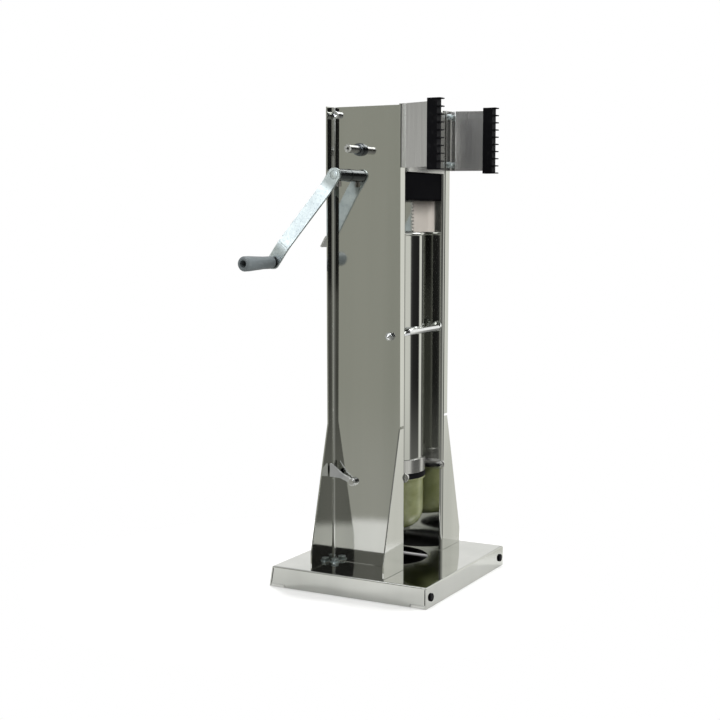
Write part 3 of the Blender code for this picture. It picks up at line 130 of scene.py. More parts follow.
class Bench:
    """A node tree on which a finish is put together."""

    def __init__(self, tree):
        self.tree = tree

    def node(self, kind, settings=None, sockets=None, out=0):
        made = self.tree.nodes.new(kind)
        for name, value in (settings or {}).items():
            if name == "stops":
                self.set_stops(made.color_ramp, value)
            else:
                setattr(made, name, value)
        for name, value in (sockets or {}).items():
            if isinstance(value, Value):
                self.tree.links.new(value.socket, made.inputs[name])
            else:
                made.inputs[name].default_value = value
        return Value(self, made.outputs[out])

    def set_stops(self, ramp, stops):
        while len(ramp.elements) > 1:
            ramp.elements.remove(ramp.elements[-1])
        for order, (place, colour) in enumerate(stops):
            stop = ramp.elements[0] if order == 0 else ramp.elements.new(place)
            stop.position = place
            stop.color = (*colour, 1)

    def blend(self, factor, first, second):
        """Mixes two colours."""
        return self.node("ShaderNodeMix", {"data_type": "RGBA"}, {0: factor, 6: first, 7: second}, out=2)

    def place(self, stretch=(1, 1, 1)):
        """Where a point lies on the object, with each axis stretched."""
        here = self.node("ShaderNodeTexCoord", out=3)
        return self.node("ShaderNodeMapping", None, {"Vector": here, "Scale": stretch})

    def noise(self, scale, stretch=(1, 1, 1), detail=3, roughness=0.5):
        return self.node("ShaderNodeTexNoise", None, {
            "Vector": self.place(stretch), "Scale": scale, "Detail": detail, "Roughness": roughness,
        })

    def band(self, value, low, high):
        """0 below low, 1 above high, and smooth between."""
        return self.node("ShaderNodeMapRange", {"interpolation_type": "SMOOTHSTEP"},
                         {"Value": value, "From Min": low, "From Max": high})

    def spread(self, value, limits):
        """Carries 0 to 1 over to the range between two limits."""
        low, high = limits
        return value * (high - low) + low

    def hill(self, value, limits):
        """1 between the inner two of four limits, 0 outside the outer two, and smooth between."""
        rising, risen, falling, fallen = limits
        return self.band(value, rising, risen) * (1 - self.band(value, falling, fallen))


def rgb(red, green, blue):
    return (red, green, blue, 1)


# %% A finish from its colour, gloss and relief
FULL = 1.0


def finish(name, colour, roughness, metallic, relief, relief_depth, constants=None):
    """Makes a material. Colour, roughness and relief are functions that wire nodes on the bench."""
    made = bpy.data.materials.new(name)
    made.use_nodes = True
    bench = Bench(made.node_tree)
    surface = made.node_tree.nodes["Principled BSDF"]
    bump = bench.node("ShaderNodeBump", None, {
        "Height": relief(bench), "Distance": relief_depth, "Strength": FULL,
    })
    wired = {"Base Color": colour(bench), "Roughness": roughness(bench), "Normal": bump}
    for socket, value in wired.items():
        made.node_tree.links.new(value.socket, surface.inputs[socket])
    surface.inputs["Metallic"].default_value = metallic
    for socket, value in (constants or {}).items():
        surface.inputs[socket].default_value = value
    return made


# %% [markdown]
# ## Polished sheet
# The side panels, the base and the cylinder are bright-rolled stainless sheet. It mirrors the room almost
# cleanly, so most of its look is the room. What tells it from glass is the faint haze left by rolling,
# which runs along the sheet, and a few wiped smears where hands have been.

# %% Polished sheet
STEEL_TINT = rgb(0.600, 0.605, 0.575)
STEEL_DULL = rgb(0.520, 0.530, 0.500)
ROLLED_DEPTH = 0.00004
ROLLED_ROUGHNESS = 0.035
HAZE_ROUGHNESS = 0.05
SMEAR_ROUGHNESS = 0.07


def rolled_colour(bench):
    streaks = bench.noise(scale=9, stretch=(1, 1, 0.06), detail=4)
    return bench.blend(bench.band(streaks, 0.35, 0.75), STEEL_TINT, STEEL_DULL)


def wiped_gloss(bench):
    haze = bench.noise(scale=130, stretch=(1, 1, 0.03), detail=2)
    smears = bench.band(bench.noise(scale=7, stretch=(1, 1, 0.5), detail=5, roughness=0.6), 0.50, 0.78)
    return haze * HAZE_ROUGHNESS + smears * SMEAR_ROUGHNESS + ROLLED_ROUGHNESS


def rolled_relief(bench):
    return bench.noise(scale=26, stretch=(1, 1, 0.25), detail=2)


mirror_steel = finish("polished_sheet", rolled_colour, wiped_gloss, FULL, rolled_relief, ROLLED_DEPTH)
print("made", mirror_steel.name)

# %% [markdown]
# ## Brushed sheet
# Covers, wings, shafts and the small plates are ground with a belt. Thousands of hair-fine lines run one
# way. Noise that is squeezed across the lines and drawn out along them gives both the uneven gloss and
# the relief.

# %% Brushed sheet
BRUSHED_TONES = rgb(0.50, 0.50, 0.49), rgb(0.64, 0.64, 0.63)
BRUSHED_ROUGHNESS = 0.12
LINE_ROUGHNESS = 0.12
CLOUD_ROUGHNESS = 0.10
BRUSHED_DEPTH = 0.00002


def brushed_colour(bench):
    lines = bench.noise(scale=420, stretch=(1, 1, 0.02), detail=3)
    return bench.blend(lines, *BRUSHED_TONES)


def brushed_gloss(bench):
    lines = bench.noise(scale=520, stretch=(1, 1, 0.015), detail=2)
    clouds = bench.noise(scale=14, detail=3)
    return lines * LINE_ROUGHNESS + clouds * CLOUD_ROUGHNESS + BRUSHED_ROUGHNESS


def brushed_relief(bench):
    return bench.noise(scale=700, stretch=(1, 1, 0.02), detail=2)


satin_steel = finish("brushed_sheet", brushed_colour, brushed_gloss, FULL, brushed_relief, BRUSHED_DEPTH)
print("made", satin_steel.name)

# %% [markdown]
# ## Bright plating
# The cross rod with its domed nuts, the latch levers, the hinge pins and the tie screws are plated
# bright. Plating mirrors almost like glass, and fingers dull it in patches. The patches change the
# roughness more than the colour, because a film of grease on metal hardly has a colour of its own.

# %% Bright plating
PLATING_TONES = rgb(0.80, 0.81, 0.82), rgb(0.66, 0.68, 0.70)
PLATING_ROUGHNESS = 0.04, 0.16
PLATING_DEPTH = 0.00002


def fingered_gloss(bench):
    prints = bench.band(bench.noise(scale=60, detail=5, roughness=0.6), 0.45, 0.75)
    return bench.spread(prints, PLATING_ROUGHNESS)


def plating_colour(bench):
    return bench.blend(bench.band(bench.noise(scale=40, detail=4), 0.4, 0.8), *PLATING_TONES)


def plating_relief(bench):
    return bench.noise(scale=90, detail=2)


chrome = finish("bright_plating", plating_colour, fingered_gloss, FULL, plating_relief, PLATING_DEPTH)
print("made", chrome.name)

# %% [markdown]
# ## Zinc on the crank
# The crank is flat bar with a coat of bright zinc, and the wings' nuts have it too. Zinc settles in pale
# bluish clouds with darker flecks and a fine tooth under them. Two layers of noise, a broad one for the
# clouds and a fine one that is cut hard for the flecks, give that look.

# %% Zinc
ZINC_TONES = rgb(0.70, 0.77, 0.78), rgb(0.58, 0.65, 0.67)
ZINC_FLECK = rgb(0.40, 0.47, 0.50)
ZINC_ROUGHNESS = 0.24, 0.40
ZINC_DEPTH = 0.00005


def zinc_colour(bench):
    clouds = bench.noise(scale=55, detail=5, roughness=0.6)
    pale = bench.blend(bench.band(clouds, 0.35, 0.70), *ZINC_TONES)
    flecks = bench.band(bench.noise(scale=380, detail=3, roughness=0.7), 0.56, 0.68)
    return bench.blend(flecks, pale, ZINC_FLECK)


def zinc_gloss(bench):
    return bench.spread(bench.noise(scale=110, detail=4), ZINC_ROUGHNESS)


def zinc_relief(bench):
    return bench.noise(scale=240, detail=3)


zinc_steel = finish("bright_zinc", zinc_colour, zinc_gloss, FULL, zinc_relief, ZINC_DEPTH)
print("made", zinc_steel.name)

# %% [markdown]
# ## Machined and blackened steel
# Gears, the grip's bolt and the set screw keep the fine lines of the cutter under a film of oil. The hub,
# the bushes and the collar are blackened, which leaves a dark skin that still shines. Both share one
# relief, noise that is drawn out along X, the way in which a cutter passes through the teeth.

# %% Machined and blackened steel
OILY_TONES = rgb(0.42, 0.40, 0.38), rgb(0.24, 0.22, 0.20)
OILY_ROUGHNESS = 0.20, 0.50
BLACKENED_TONES = rgb(0.10, 0.11, 0.12), rgb(0.20, 0.215, 0.23)
BLACKENED_ROUGHNESS = 0.10, 0.30
TURNED_DEPTH = 0.00002


def oily_colour(bench):
    oil = bench.band(bench.noise(scale=45, detail=4), 0.40, 0.70)
    return bench.blend(oil, *OILY_TONES)


def oily_gloss(bench):
    return bench.spread(bench.noise(scale=80, detail=4), OILY_ROUGHNESS)


def turned_relief(bench):
    return bench.noise(scale=900, stretch=(0.05, 1, 1), detail=2)


gear_steel = finish("machined_steel", oily_colour, oily_gloss, FULL, turned_relief, TURNED_DEPTH)


def blackened_colour(bench):
    return bench.blend(bench.noise(scale=70, detail=5), *BLACKENED_TONES)


def blackened_gloss(bench):
    return bench.spread(bench.noise(scale=90, stretch=(0.1, 1, 1), detail=4), BLACKENED_ROUGHNESS)


black_steel = finish(
    "blackened_steel", blackened_colour, blackened_gloss, FULL, turned_relief, TURNED_DEPTH,
)
print("made", gear_steel.name, black_steel.name)

# %% [markdown]
# ## The rack
# The rack is a milled bar, and it looks pale. A bare mirror would show the dark head beside it, so only a
# tenth of it is metallic and the rest is a plain pale surface with faint milling lines. Its pale tones are
# partly the bar's own colour and partly painted light, for the light that reaches its sides in the column.

# %% The rack
# Pale tones: partly the bar's colour, partly painted light for the light reaching it inside the column.
RACK_TONES_WITH_PAINTED_LIGHT = rgb(0.90, 0.81, 0.77), rgb(0.98, 0.91, 0.875)
RACK_ROUGHNESS = 0.42, 0.58
RACK_METAL = 0.10


def rack_colour_with_painted_light(bench):
    marks = bench.noise(scale=300, stretch=(1, 1, 0.08), detail=3)
    return bench.blend(marks, *RACK_TONES_WITH_PAINTED_LIGHT)


def rack_gloss(bench):
    return bench.spread(bench.noise(scale=60, stretch=(1, 1, 0.4), detail=4), RACK_ROUGHNESS)


rack_steel = finish("milled_bar", rack_colour_with_painted_light, rack_gloss, RACK_METAL, brushed_relief, BRUSHED_DEPTH)
print("made", rack_steel.name)

# %% [markdown]
# ## Rubber
# The ribbed strips, the feet, the gasket, the piston's seal and the ring at the grip are black rubber:
# dull, with a dusty bloom. Rough black rubber turns grey in bright light, so its sheen is set low.

# %% Rubber
RUBBER_TONES = rgb(0.003, 0.003, 0.004), rgb(0.014, 0.014, 0.015)
RUBBER_ROUGHNESS = 0.50, 0.75
RUBBER_DEPTH = 0.00008
RUBBER_SHEEN = 0.06


def rubber_colour(bench):
    bloom = bench.band(bench.noise(scale=70, detail=6, roughness=0.65), 0.50, 0.80)
    return bench.blend(bloom, *RUBBER_TONES)


def rubber_gloss(bench):
    return bench.spread(bench.noise(scale=160, detail=3), RUBBER_ROUGHNESS)


def grain_relief(bench):
    return bench.noise(scale=1400, detail=2)


black_rubber = finish(
    "black_rubber", rubber_colour, rubber_gloss, 0, grain_relief, RUBBER_DEPTH,
    {"Specular IOR Level": RUBBER_SHEEN},
)
print("made", black_rubber.name)

# %% [markdown]
# ## Black paint
# The head block is painted. Spray leaves a fine orange-peel skin, which is noise with a small relief. The
# block looks close to pure black, so both its tones and its sheen are very low: the tones are black paint
# with painted shade for the dark inside of the head.

# %% Black paint
# Black paint darkened further by painted shade for the inside of the head.
PAINT_AND_SHADE_TONES = rgb(0.0010, 0.0010, 0.0014), rgb(0.0035, 0.0035, 0.0042)
PAINT_ROUGHNESS = 0.30, 0.45
PAINT_DEPTH = 0.00005
PAINT_SHEEN = 0.004


def paint_and_shade_colour(bench):
    return bench.blend(bench.noise(scale=30, detail=4), *PAINT_AND_SHADE_TONES)


def paint_gloss(bench):
    return bench.spread(bench.noise(scale=50, detail=3), PAINT_ROUGHNESS)


def peel_relief(bench):
    return bench.noise(scale=420, detail=2)


black_paint = finish(
    "black_paint", paint_and_shade_colour, paint_gloss, 0, peel_relief, PAINT_DEPTH,
    {"Specular IOR Level": PAINT_SHEEN},
)
print("made", black_paint.name)

# %% [markdown]
# ## Moulded plastics
# The grip is grey plastic, scuffed by hands, and the pads under the base and the rack's guide are white.
# Moulded plastic shows the etched grain of its mould, so both take the rubber's fine grain as relief. The
# grip's scuffs are drawn out along the grip, because noise that varies less along X makes long marks
# there.

# %% Moulded plastics
GRIP_TONES = rgb(0.135, 0.155, 0.162), rgb(0.22, 0.24, 0.245)
GRIP_ROUGHNESS = 0.38, 0.56
GRIP_DEPTH = 0.00006
PAD_TONES = rgb(0.60, 0.60, 0.57), rgb(0.74, 0.74, 0.70)
PAD_ROUGHNESS = 0.38, 0.53
PAD_DEPTH = 0.00004


def grip_colour(bench):
    scuffs = bench.band(bench.noise(scale=120, stretch=(0.3, 1, 1), detail=6, roughness=0.7), 0.52, 0.80)
    return bench.blend(scuffs, *GRIP_TONES)


def grip_gloss(bench):
    return bench.spread(bench.noise(scale=90, detail=4), GRIP_ROUGHNESS)


grey_plastic = finish("moulded_grey", grip_colour, grip_gloss, 0, grain_relief, GRIP_DEPTH)


def pad_colour(bench):
    return bench.blend(bench.noise(scale=60, detail=5), *PAD_TONES)


def pad_gloss(bench):
    return bench.spread(bench.noise(scale=120, detail=3), PAD_ROUGHNESS)


white_plastic = finish("moulded_white", pad_colour, pad_gloss, 0, grain_relief, PAD_DEPTH)
print("made", grey_plastic.name, white_plastic.name)

# %% [markdown]
# ## The see-through funnel
# The bowl under the cylinder is moulded in a translucent olive plastic. Light enters, scatters and comes
# out softer, so it is part subsurface scattering and part transmission, under a glossy skin with flow
# clouds.

# %% Translucent plastic
BOWL_TONES = rgb(0.21, 0.23, 0.10), rgb(0.32, 0.34, 0.18)
BOWL_ROUGHNESS = 0.14, 0.28
BOWL_DEPTH = 0.00003
BOWL_LIGHT = {
    "Transmission Weight": 0.45, "IOR": 1.45, "Subsurface Weight": 0.30,
    "Subsurface Radius": (0.006, 0.006, 0.003),
}


def bowl_colour(bench):
    flow = bench.noise(scale=24, stretch=(1, 1, 1.6), detail=5, roughness=0.6)
    return bench.blend(bench.band(flow, 0.30, 0.75), *BOWL_TONES)


def bowl_gloss(bench):
    return bench.spread(bench.noise(scale=45, detail=3), BOWL_ROUGHNESS)


funnel_plastic = finish(
    "translucent_olive", bowl_colour, bowl_gloss, 0, peel_relief, BOWL_DEPTH, BOWL_LIGHT,
)
finishes = {
    "mirror_steel": mirror_steel, "satin_steel": satin_steel, "chrome": chrome, "zinc_steel": zinc_steel,
    "gear_steel": gear_steel, "rack_steel": rack_steel, "black_rubber": black_rubber,
    "black_paint": black_paint, "grey_plastic": grey_plastic, "white_plastic": white_plastic,
    "funnel_plastic": funnel_plastic,
}
print("finishes", len(finishes))

# %% [markdown]
# ## Dressing the solids
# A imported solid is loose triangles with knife-sharp edges. Real sheet and bar have a small radius that
# catches a line of light. A merged copy of each solid gets that radius, takes the place of the solid, and
# rides on the same body. Its shading follows the large faces, so that flat sheet mirrors like flat sheet
# up to its bends.

# %% A merged copy of a solid
MERGE = 0.00001
FLAT = math.radians(1)
SMOOTH = math.radians(38)
SHARP = math.radians(30)


def merged(node):
    """The node's triangles joined into whole flat faces."""
    bm = bmesh.new()
    bm.from_mesh(frame["nodes"][node].data)
    bmesh.ops.remove_doubles(bm, verts=bm.verts, dist=MERGE)
    bmesh.ops.dissolve_limit(bm, angle_limit=FLAT, verts=bm.verts, edges=bm.edges, delimit={"NORMAL"})
    return bm


def round_edges(bm, radius, steps=2):
    """Rounds every edge that is sharper than a fold."""
    sharp = [edge for edge in bm.edges if edge.is_manifold and edge.calc_face_angle() > SHARP]
    bmesh.ops.bevel(
        bm, geom=sharp, offset=radius, segments=steps, profile=0.5, affect="EDGES", material=-1,
        clamp_overlap=True,
    )


def settle(bm, name, node, stands_for=(), look=None):
    """Makes a piece that rides with a node, in the node's finish unless a look is given."""
    bmesh.ops.recalc_face_normals(bm, faces=bm.faces)
    mesh = bpy.data.meshes.new(name)
    bm.to_mesh(mesh)
    bm.free()
    mesh.shade_smooth()
    mesh.set_sharp_from_angle(angle=SMOOTH)
    mesh.materials.append(look or finishes[slot_of[node]])
    piece = bpy.data.objects.new(name, mesh)
    bpy.context.scene.collection.objects.link(piece)
    even = piece.modifiers.new("even_shading", "WEIGHTED_NORMAL")
    even.keep_sharp = True
    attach(piece, body_of[node])
    if stands_for:
        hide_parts(*stands_for)
    return piece


print("edges over", round(math.degrees(SHARP)), "degrees are rounded")

# %% [markdown]
# ## The crank's two bends
# The crank is flat bar, bent over a wide former, and its solid has tighter corners there. Its round ends
# and its holes have to stay as they are, so the copy is cut across in slices near each bend, and the
# slices are moved onto a parabola that meets both straight stretches without a step.

# %% The crank's bends
ARM_SHEET = 0.005
BEND_SHARES = (0.16, 0.80)
BEND_HALF = 0.013
BEND_CUTS = 12


def ease_bends(bm):
    """Draws the two corners of the arm out into long curves."""
    hub_low, hub_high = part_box("crank_hub")
    grip_low, grip_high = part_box("crank_grip")
    hub = (hub_low + hub_high) / 2
    down = (grip_low + grip_high) / 2 - hub
    down.x = 0
    reach = down.length
    down.normalize()
    bends = [share * reach for share in BEND_SHARES]
    for bend in bends:
        for cut in range(BEND_CUTS + 1):
            place = hub + down * (bend + BEND_HALF * (2 * cut / BEND_CUTS - 1))
            whole = bm.verts[:] + bm.edges[:] + bm.faces[:]
            bmesh.ops.bisect_plane(bm, geom=whole, plane_co=place, plane_no=down)
    low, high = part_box("crank_arm")
    rise = (high.x - low.x - ARM_SHEET) / (bends[1] - bends[0])
    for vert in bm.verts:
        along = (vert.co - hub).dot(down)
        for bend, way in zip(bends, (-1, 1)):
            inside = BEND_HALF - abs(along - bend)
            if inside > 0:
                vert.co.x += way * rise * inside * inside / (4 * BEND_HALF)


print("the crank bends at", BEND_SHARES, "of its reach")

# %% [markdown]
# ## Folded, cut and toothed pieces
# Sheet is broken at its edges by about a third of a millimetre, bar and castings by a little more. Gear
# teeth keep the sharpest edges, because they are cut last and never sanded.

# %% Pieces that keep their outline
EDGE_RADII = {
    "base_tray": 0.0004, "side_panel_near": 0.0004, "side_panel_far": 0.0004,
    "rest_wing_near": 0.0003, "rest_wing_far": 0.0003, "front_cover": 0.0003, "top_cover": 0.0003,
    "gear_housing": 0.0003, "crank_arm": 0.0006, "latch_lever_near": 0.0004, "latch_lever_far": 0.0004,
    "cylinder_handle": 0.0005, "rubber_strip_near": 0.0003, "rubber_strip_far": 0.0003, "rack": 0.0002,
    "rack_guide": 0.0006, "bearing_cheek": 0.0004, "hinge_ear_near": 0.0003, "hinge_ear_far": 0.0003,
    "cylinder_ring": 0.0004, "rack_pinion": 0.0002, "large_gear": 0.0002, "small_gear": 0.0002,
    "cradle_rod": 0.0003, "base_pad_near_front": 0.0006, "base_pad_near_back": 0.0006,
    "base_pad_far_front": 0.0006, "base_pad_far_back": 0.0006, "crank_hub": 0.0004, "piston": 0.0005,
}


def softened(node, radius):
    bm = merged(node)
    if node == "crank_arm":
        ease_bends(bm)
    round_edges(bm, radius)
    return settle(bm, f"{node}_finished", node, [node], black_steel if node == "crank_hub" else None)


softened_pieces = [softened(node, radius) for node, radius in EDGE_RADII.items()]
print("softened", len(softened_pieces))

# %% [markdown]
# ## Turned pieces
# Shafts, bushes, the cylinder and the bowl come off a lathe or a spinning chuck, so they are truly round.
# Their solids have few sides. The outline is read back from one radial cut through the solid and is spun
# again with many more, and its corners are rounded like the deburred corners of turned work.

# %% Reading the outline of a turned solid
ALONG = {"X": 0, "Y": 1, "Z": 2}
ON_CUT = MERGE * 2
DIGITS = 6


def axis_line(node, axis):
    """The axis as a unit vector, and a point on it."""
    low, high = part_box(node)
    direction = Vector((0, 0, 0))
    direction[ALONG[axis]] = 1
    middle = (low + high) / 2
    middle[ALONG[axis]] = 0
    return direction, middle


def corners_only(points, closed):
    """Leaves out the points that lie on the line between their neighbours."""
    kept = []
    for order, (distance, place) in enumerate(points):
        if not closed and order in (0, len(points) - 1):
            kept.append((distance, place))
            continue
        before = Vector(points[order - 1])
        after = Vector(points[(order + 1) % len(points)])
        here = Vector((distance, place))
        way = (after - before).normalized()
        if ((here - before) - way * (here - before).dot(way)).length > MERGE:
            kept.append((distance, place))
    return kept


def radial_outline(node, axis):
    """The outline in one half plane, as (distance from the axis, place along it), and whether it closes."""
    direction, middle = axis_line(node, axis)
    bm = bmesh.new()
    bm.from_mesh(frame["nodes"][node].data)
    bmesh.ops.remove_doubles(bm, verts=bm.verts, dist=MERGE)

    def away(vert):
        return vert.co - middle - direction * (vert.co - middle).dot(direction)

    side = away(max(bm.verts, key=lambda vert: round(away(vert).length, DIGITS))).normalized()
    across = direction.cross(side)
    whole = bm.verts[:] + bm.edges[:] + bm.faces[:]
    bmesh.ops.bisect_plane(bm, geom=whole, dist=MERGE, plane_co=middle, plane_no=across)
    on_cut = {
        vert for vert in bm.verts
        if abs(away(vert).dot(across)) < ON_CUT and away(vert).dot(side) > -MERGE
    }
    beside = {
        vert: [edge.other_vert(vert) for edge in vert.link_edges if edge.other_vert(vert) in on_cut]
        for vert in on_cut
    }
    by_place = sorted(
        on_cut, key=lambda vert: (round(vert.co.dot(direction), DIGITS), round(away(vert).length, DIGITS)),
    )
    ends = [vert for vert in by_place if len(beside[vert]) == 1]
    walk = [ends[0] if ends else by_place[0]]
    while True:
        onward = [vert for vert in beside[walk[-1]] if vert not in walk]
        if not onward:
            break
        walk.append(onward[0])
    points = [(away(vert).length, (vert.co - middle).dot(direction)) for vert in walk]
    bm.free()
    if ends:
        first, last = points[0], points[-1]
        points = [(0, first[1])] * (first[0] > MERGE) + points + [(0, last[1])] * (last[0] > MERGE)
    return corners_only(points, not ends), not ends


print("the cylinder's outline has", len(radial_outline("cylinder", "Z")[0]), "corners")

# %% Spinning an outline
SEAM = MERGE / 10


def spun(points, closed, direction, middle, steps):
    """Spins an outline once round the axis."""
    bm = bmesh.new()
    side = direction.orthogonal().normalized()
    ring = [bm.verts.new(middle + side * distance + direction * place) for distance, place in points]
    pairs = list(zip(ring, ring[1:])) + ([(ring[-1], ring[0])] if closed else [])
    edges = [bm.edges.new(pair) for pair in pairs]
    bmesh.ops.spin(
        bm, geom=ring + edges, cent=middle, axis=direction, angle=math.tau, steps=steps, use_merge=True,
    )
    bmesh.ops.remove_doubles(bm, verts=bm.verts, dist=SEAM)
    bmesh.ops.recalc_face_normals(bm, faces=bm.faces)
    return bm


# %% The turned pieces: axis, sides and edge radius
# A centre hole has a radius and a depth, and ends in a point.
CENTRE_HOLES = {"upper_shaft": (0.0016, 0.004)}
BLACKENED = ("bush_lower_near", "bush_upper_near", "bush_lower_far")
TURNED = {
    "cylinder": ("Z", 160, 0.0005), "cylinder_gasket": ("Z", 128, 0.0006),
    "outlet_funnel": ("Z", 128, 0.0008), "piston_seal": ("Z", 128, 0.0008),
    "piston_bolt": ("Z", 48, 0.0005), "lower_shaft": ("X", 64, 0.0008), "upper_shaft": ("X", 64, 0.0008),
    "bush_lower_near": ("X", 64, 0.0004), "bush_upper_near": ("X", 64, 0.0004),
    "bush_lower_far": ("X", 64, 0.0004), "tie_bar": ("X", 32, 0.0003), "grip_bolt": ("X", 48, 0.0004),
    "grip_collar": ("X", 64, 0.0005), "crank_grip": ("X", 96, 0.0006), "hub_set_screw": ("Z", 32, 0.0003),
    "hinge_pin_near": ("X", 48, 0.0004), "hinge_pin_far": ("X", 48, 0.0004),
    "latch_pin_near": ("X", 48, 0.0005), "latch_pin_far": ("X", 48, 0.0005),
    "lying_foot_near": ("Y", 64, 0.0008), "lying_foot_far": ("Y", 64, 0.0008),
}


def turned_again(node, axis, steps, radius):
    points, closed = radial_outline(node, axis)
    if node in CENTRE_HOLES:
        (hole, depth), low = CENTRE_HOLES[node], points[0][1]
        points = [(0, low + depth + hole / 2), (hole, low + depth), (hole, low)] + points[1:]
    bm = spun(points, closed, *axis_line(node, axis), steps)
    round_edges(bm, radius)
    return settle(bm, f"{node}_turned", node, [node], black_steel if node in BLACKENED else None)


turned_pieces = [turned_again(node, axis, steps, radius) for node, (axis, steps, radius) in TURNED.items()]
for piece in turned_pieces:
    print(piece.name, len(piece.data.vertices))

# %% [markdown]
# ## Zinc on the end of the lower shaft
# The lower shaft's near end lies flush in the arm and is as bright as the arm's zinc. A second material
# on the faces outward from the arm's inner side shows that, without a cut in the piece.

# %% The shaft's two finishes
lower_shaft = next(piece for piece in turned_pieces if piece.name == "lower_shaft_turned")
lower_shaft.data.materials.append(zinc_steel)
arm_inner_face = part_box("crank_arm")[1].x
for face in lower_shaft.data.polygons:
    face.material_index = int(face.center.x < arm_inner_face)
print("zinc faces", sum(face.material_index for face in lower_shaft.data.polygons))

# %% [markdown]
# ## Nuts and screws
# The wings are held by hexagon nuts on studs, the tie bar by socket screws, and the cradle rod by domed
# nuts. Most are a hexagon with a turned part. The hexagon is a six-sided cone with equal ends; the stud's
# thread is a zigzag outline that is spun like any turned piece. A true helix would look the same at this
# size, and would be harder to close at its ends.

# %% Hexagons and threads
UP = Vector((0, 0, 1))
CENTRE = Vector((0, 0, 0))
HEX_SIDES = 6
HEX_EDGE_SHARE = 1 / 14
EDGE_STEPS = 3
ROUND_SIDES = 48
THREAD_SIDES = 32
THREAD_PITCH = 0.0009
THREAD_DEPTH = 0.0004


def aimed(bm, direction, place):
    """Turns what was made along Z to a direction, and moves it to its place."""
    turn = UP.rotation_difference(direction).to_matrix()
    bmesh.ops.rotate(bm, verts=bm.verts, cent=CENTRE, matrix=turn)
    bmesh.ops.translate(bm, verts=bm.verts, vec=place)
    return bm


def add_to(whole, part):
    """Puts one bmesh into another and frees it."""
    holder = bpy.data.meshes.new("part")
    part.to_mesh(holder)
    part.free()
    whole.from_mesh(holder)
    bpy.data.meshes.remove(holder)


def upright_prism(radius, low, high, sides):
    bm = bmesh.new()
    bmesh.ops.create_cone(
        bm, cap_ends=True, segments=sides, radius1=radius, radius2=radius, depth=high - low,
    )
    bmesh.ops.translate(bm, verts=bm.verts, vec=UP * ((low + high) / 2))
    return bm


def hexagon(radius, low, high, edge):
    bm = upright_prism(radius, low, high, HEX_SIDES)
    round_edges(bm, edge, EDGE_STEPS)
    return bm


def thread(radius, low, high):
    turns = max(1, int((high - low) / THREAD_PITCH))
    pitch = (high - low) / turns
    points = [(0, low), (radius - THREAD_DEPTH, low)]
    for turn in range(turns):
        crest = low + (turn + 1 / 2) * pitch
        points += [(radius, crest), (radius - THREAD_DEPTH, low + (turn + 1) * pitch)]
    points.append((0, high))
    return spun(points, False, UP, CENTRE, THREAD_SIDES)


def disc(radius, low, high, edge):
    bm = spun([(0, low), (radius, low), (radius, high), (0, high)], False, UP, CENTRE, ROUND_SIDES)
    round_edges(bm, edge)
    return bm


print("threads", THREAD_PITCH, "m apart and", THREAD_DEPTH, "m deep")

# %% The wings' nuts, with their washers and studs
STUD_IN_SHEET = 0.0051
STUD_RADIUS_SHARE = 0.52
WASHER_SHARE = 0.10
WASHER_EDGE_SHARE = 1 / 4
NUT_SHARE = 0.62
NUT_RADIUS_SHARE = 0.97


def stud_nut(node, direction):
    """A washer and a hexagon nut on a stud, in the place of a bolt that lies along the direction."""
    low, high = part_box(node)
    middle = (low + high) / 2
    length = abs((high - low).dot(direction))
    radius = (high.x - low.x) / 2
    head = length - STUD_IN_SHEET
    foot = middle + direction * (STUD_IN_SHEET - length / 2)
    washer = head * WASHER_SHARE
    bm = disc(radius, 0, washer, washer * WASHER_EDGE_SHARE)
    add_to(bm, hexagon(radius * NUT_RADIUS_SHARE, washer, head * NUT_SHARE, radius * HEX_EDGE_SHARE))
    add_to(bm, thread(radius * STUD_RADIUS_SHARE, -STUD_IN_SHEET, head))
    aimed(bm, direction, foot)
    return settle(bm, f"{node}_nut", node, [node])


wing_nuts = [
    stud_nut(f"wing_bolt_{side}_{end}", Vector((0, -1, 0)))
    for side in ("near", "far") for end in ("lower", "upper")
]
print("wing nuts", len(wing_nuts))

# %% [markdown]
# ## The slow shaft's collar
# A blackened collar holds the slow shaft in its bush from outside and turns with it. It is a closed
# outline with the shaft's own size as its bore, spun round the shaft.

# %% A collar on the slow shaft
COLLAR_RADIUS = 0.0102
COLLAR_LENGTH = 0.0075
COLLAR_EDGE = 0.0007
COLLAR_SIDES = 64


def shaft_collar():
    shaft_low, shaft_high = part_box("upper_shaft")
    middle = (shaft_low + shaft_high) / 2
    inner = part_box("bush_upper_near")[0].x
    middle.x = 0
    bore = (shaft_high.z - shaft_low.z) / 2
    outer = inner - COLLAR_LENGTH
    points = [(bore, outer), (COLLAR_RADIUS, outer), (COLLAR_RADIUS, inner), (bore, inner)]
    bm = spun(points, True, Vector((1, 0, 0)), middle, COLLAR_SIDES)
    round_edges(bm, COLLAR_EDGE)
    return settle(bm, "slow_shaft_collar", "upper_shaft", look=black_steel)


collar = shaft_collar()
print("collar", collar.name)

# %% [markdown]
# ## Domed nuts
# A domed nut closes each end of the cradle rod, so that no thread is left bare where hands and cloths
# pass. It is a hexagon with a quarter circle spun on top of it, whose foot sits a little inside the
# hexagon.

# %% Domed nuts at the ends of the cradle rod
DOME_STEPS = 10
DOME_RADIUS_SHARE = 0.80
DOME_FOOT_SHARE = 0.9
HEX_LENGTH_SHARE = 0.50


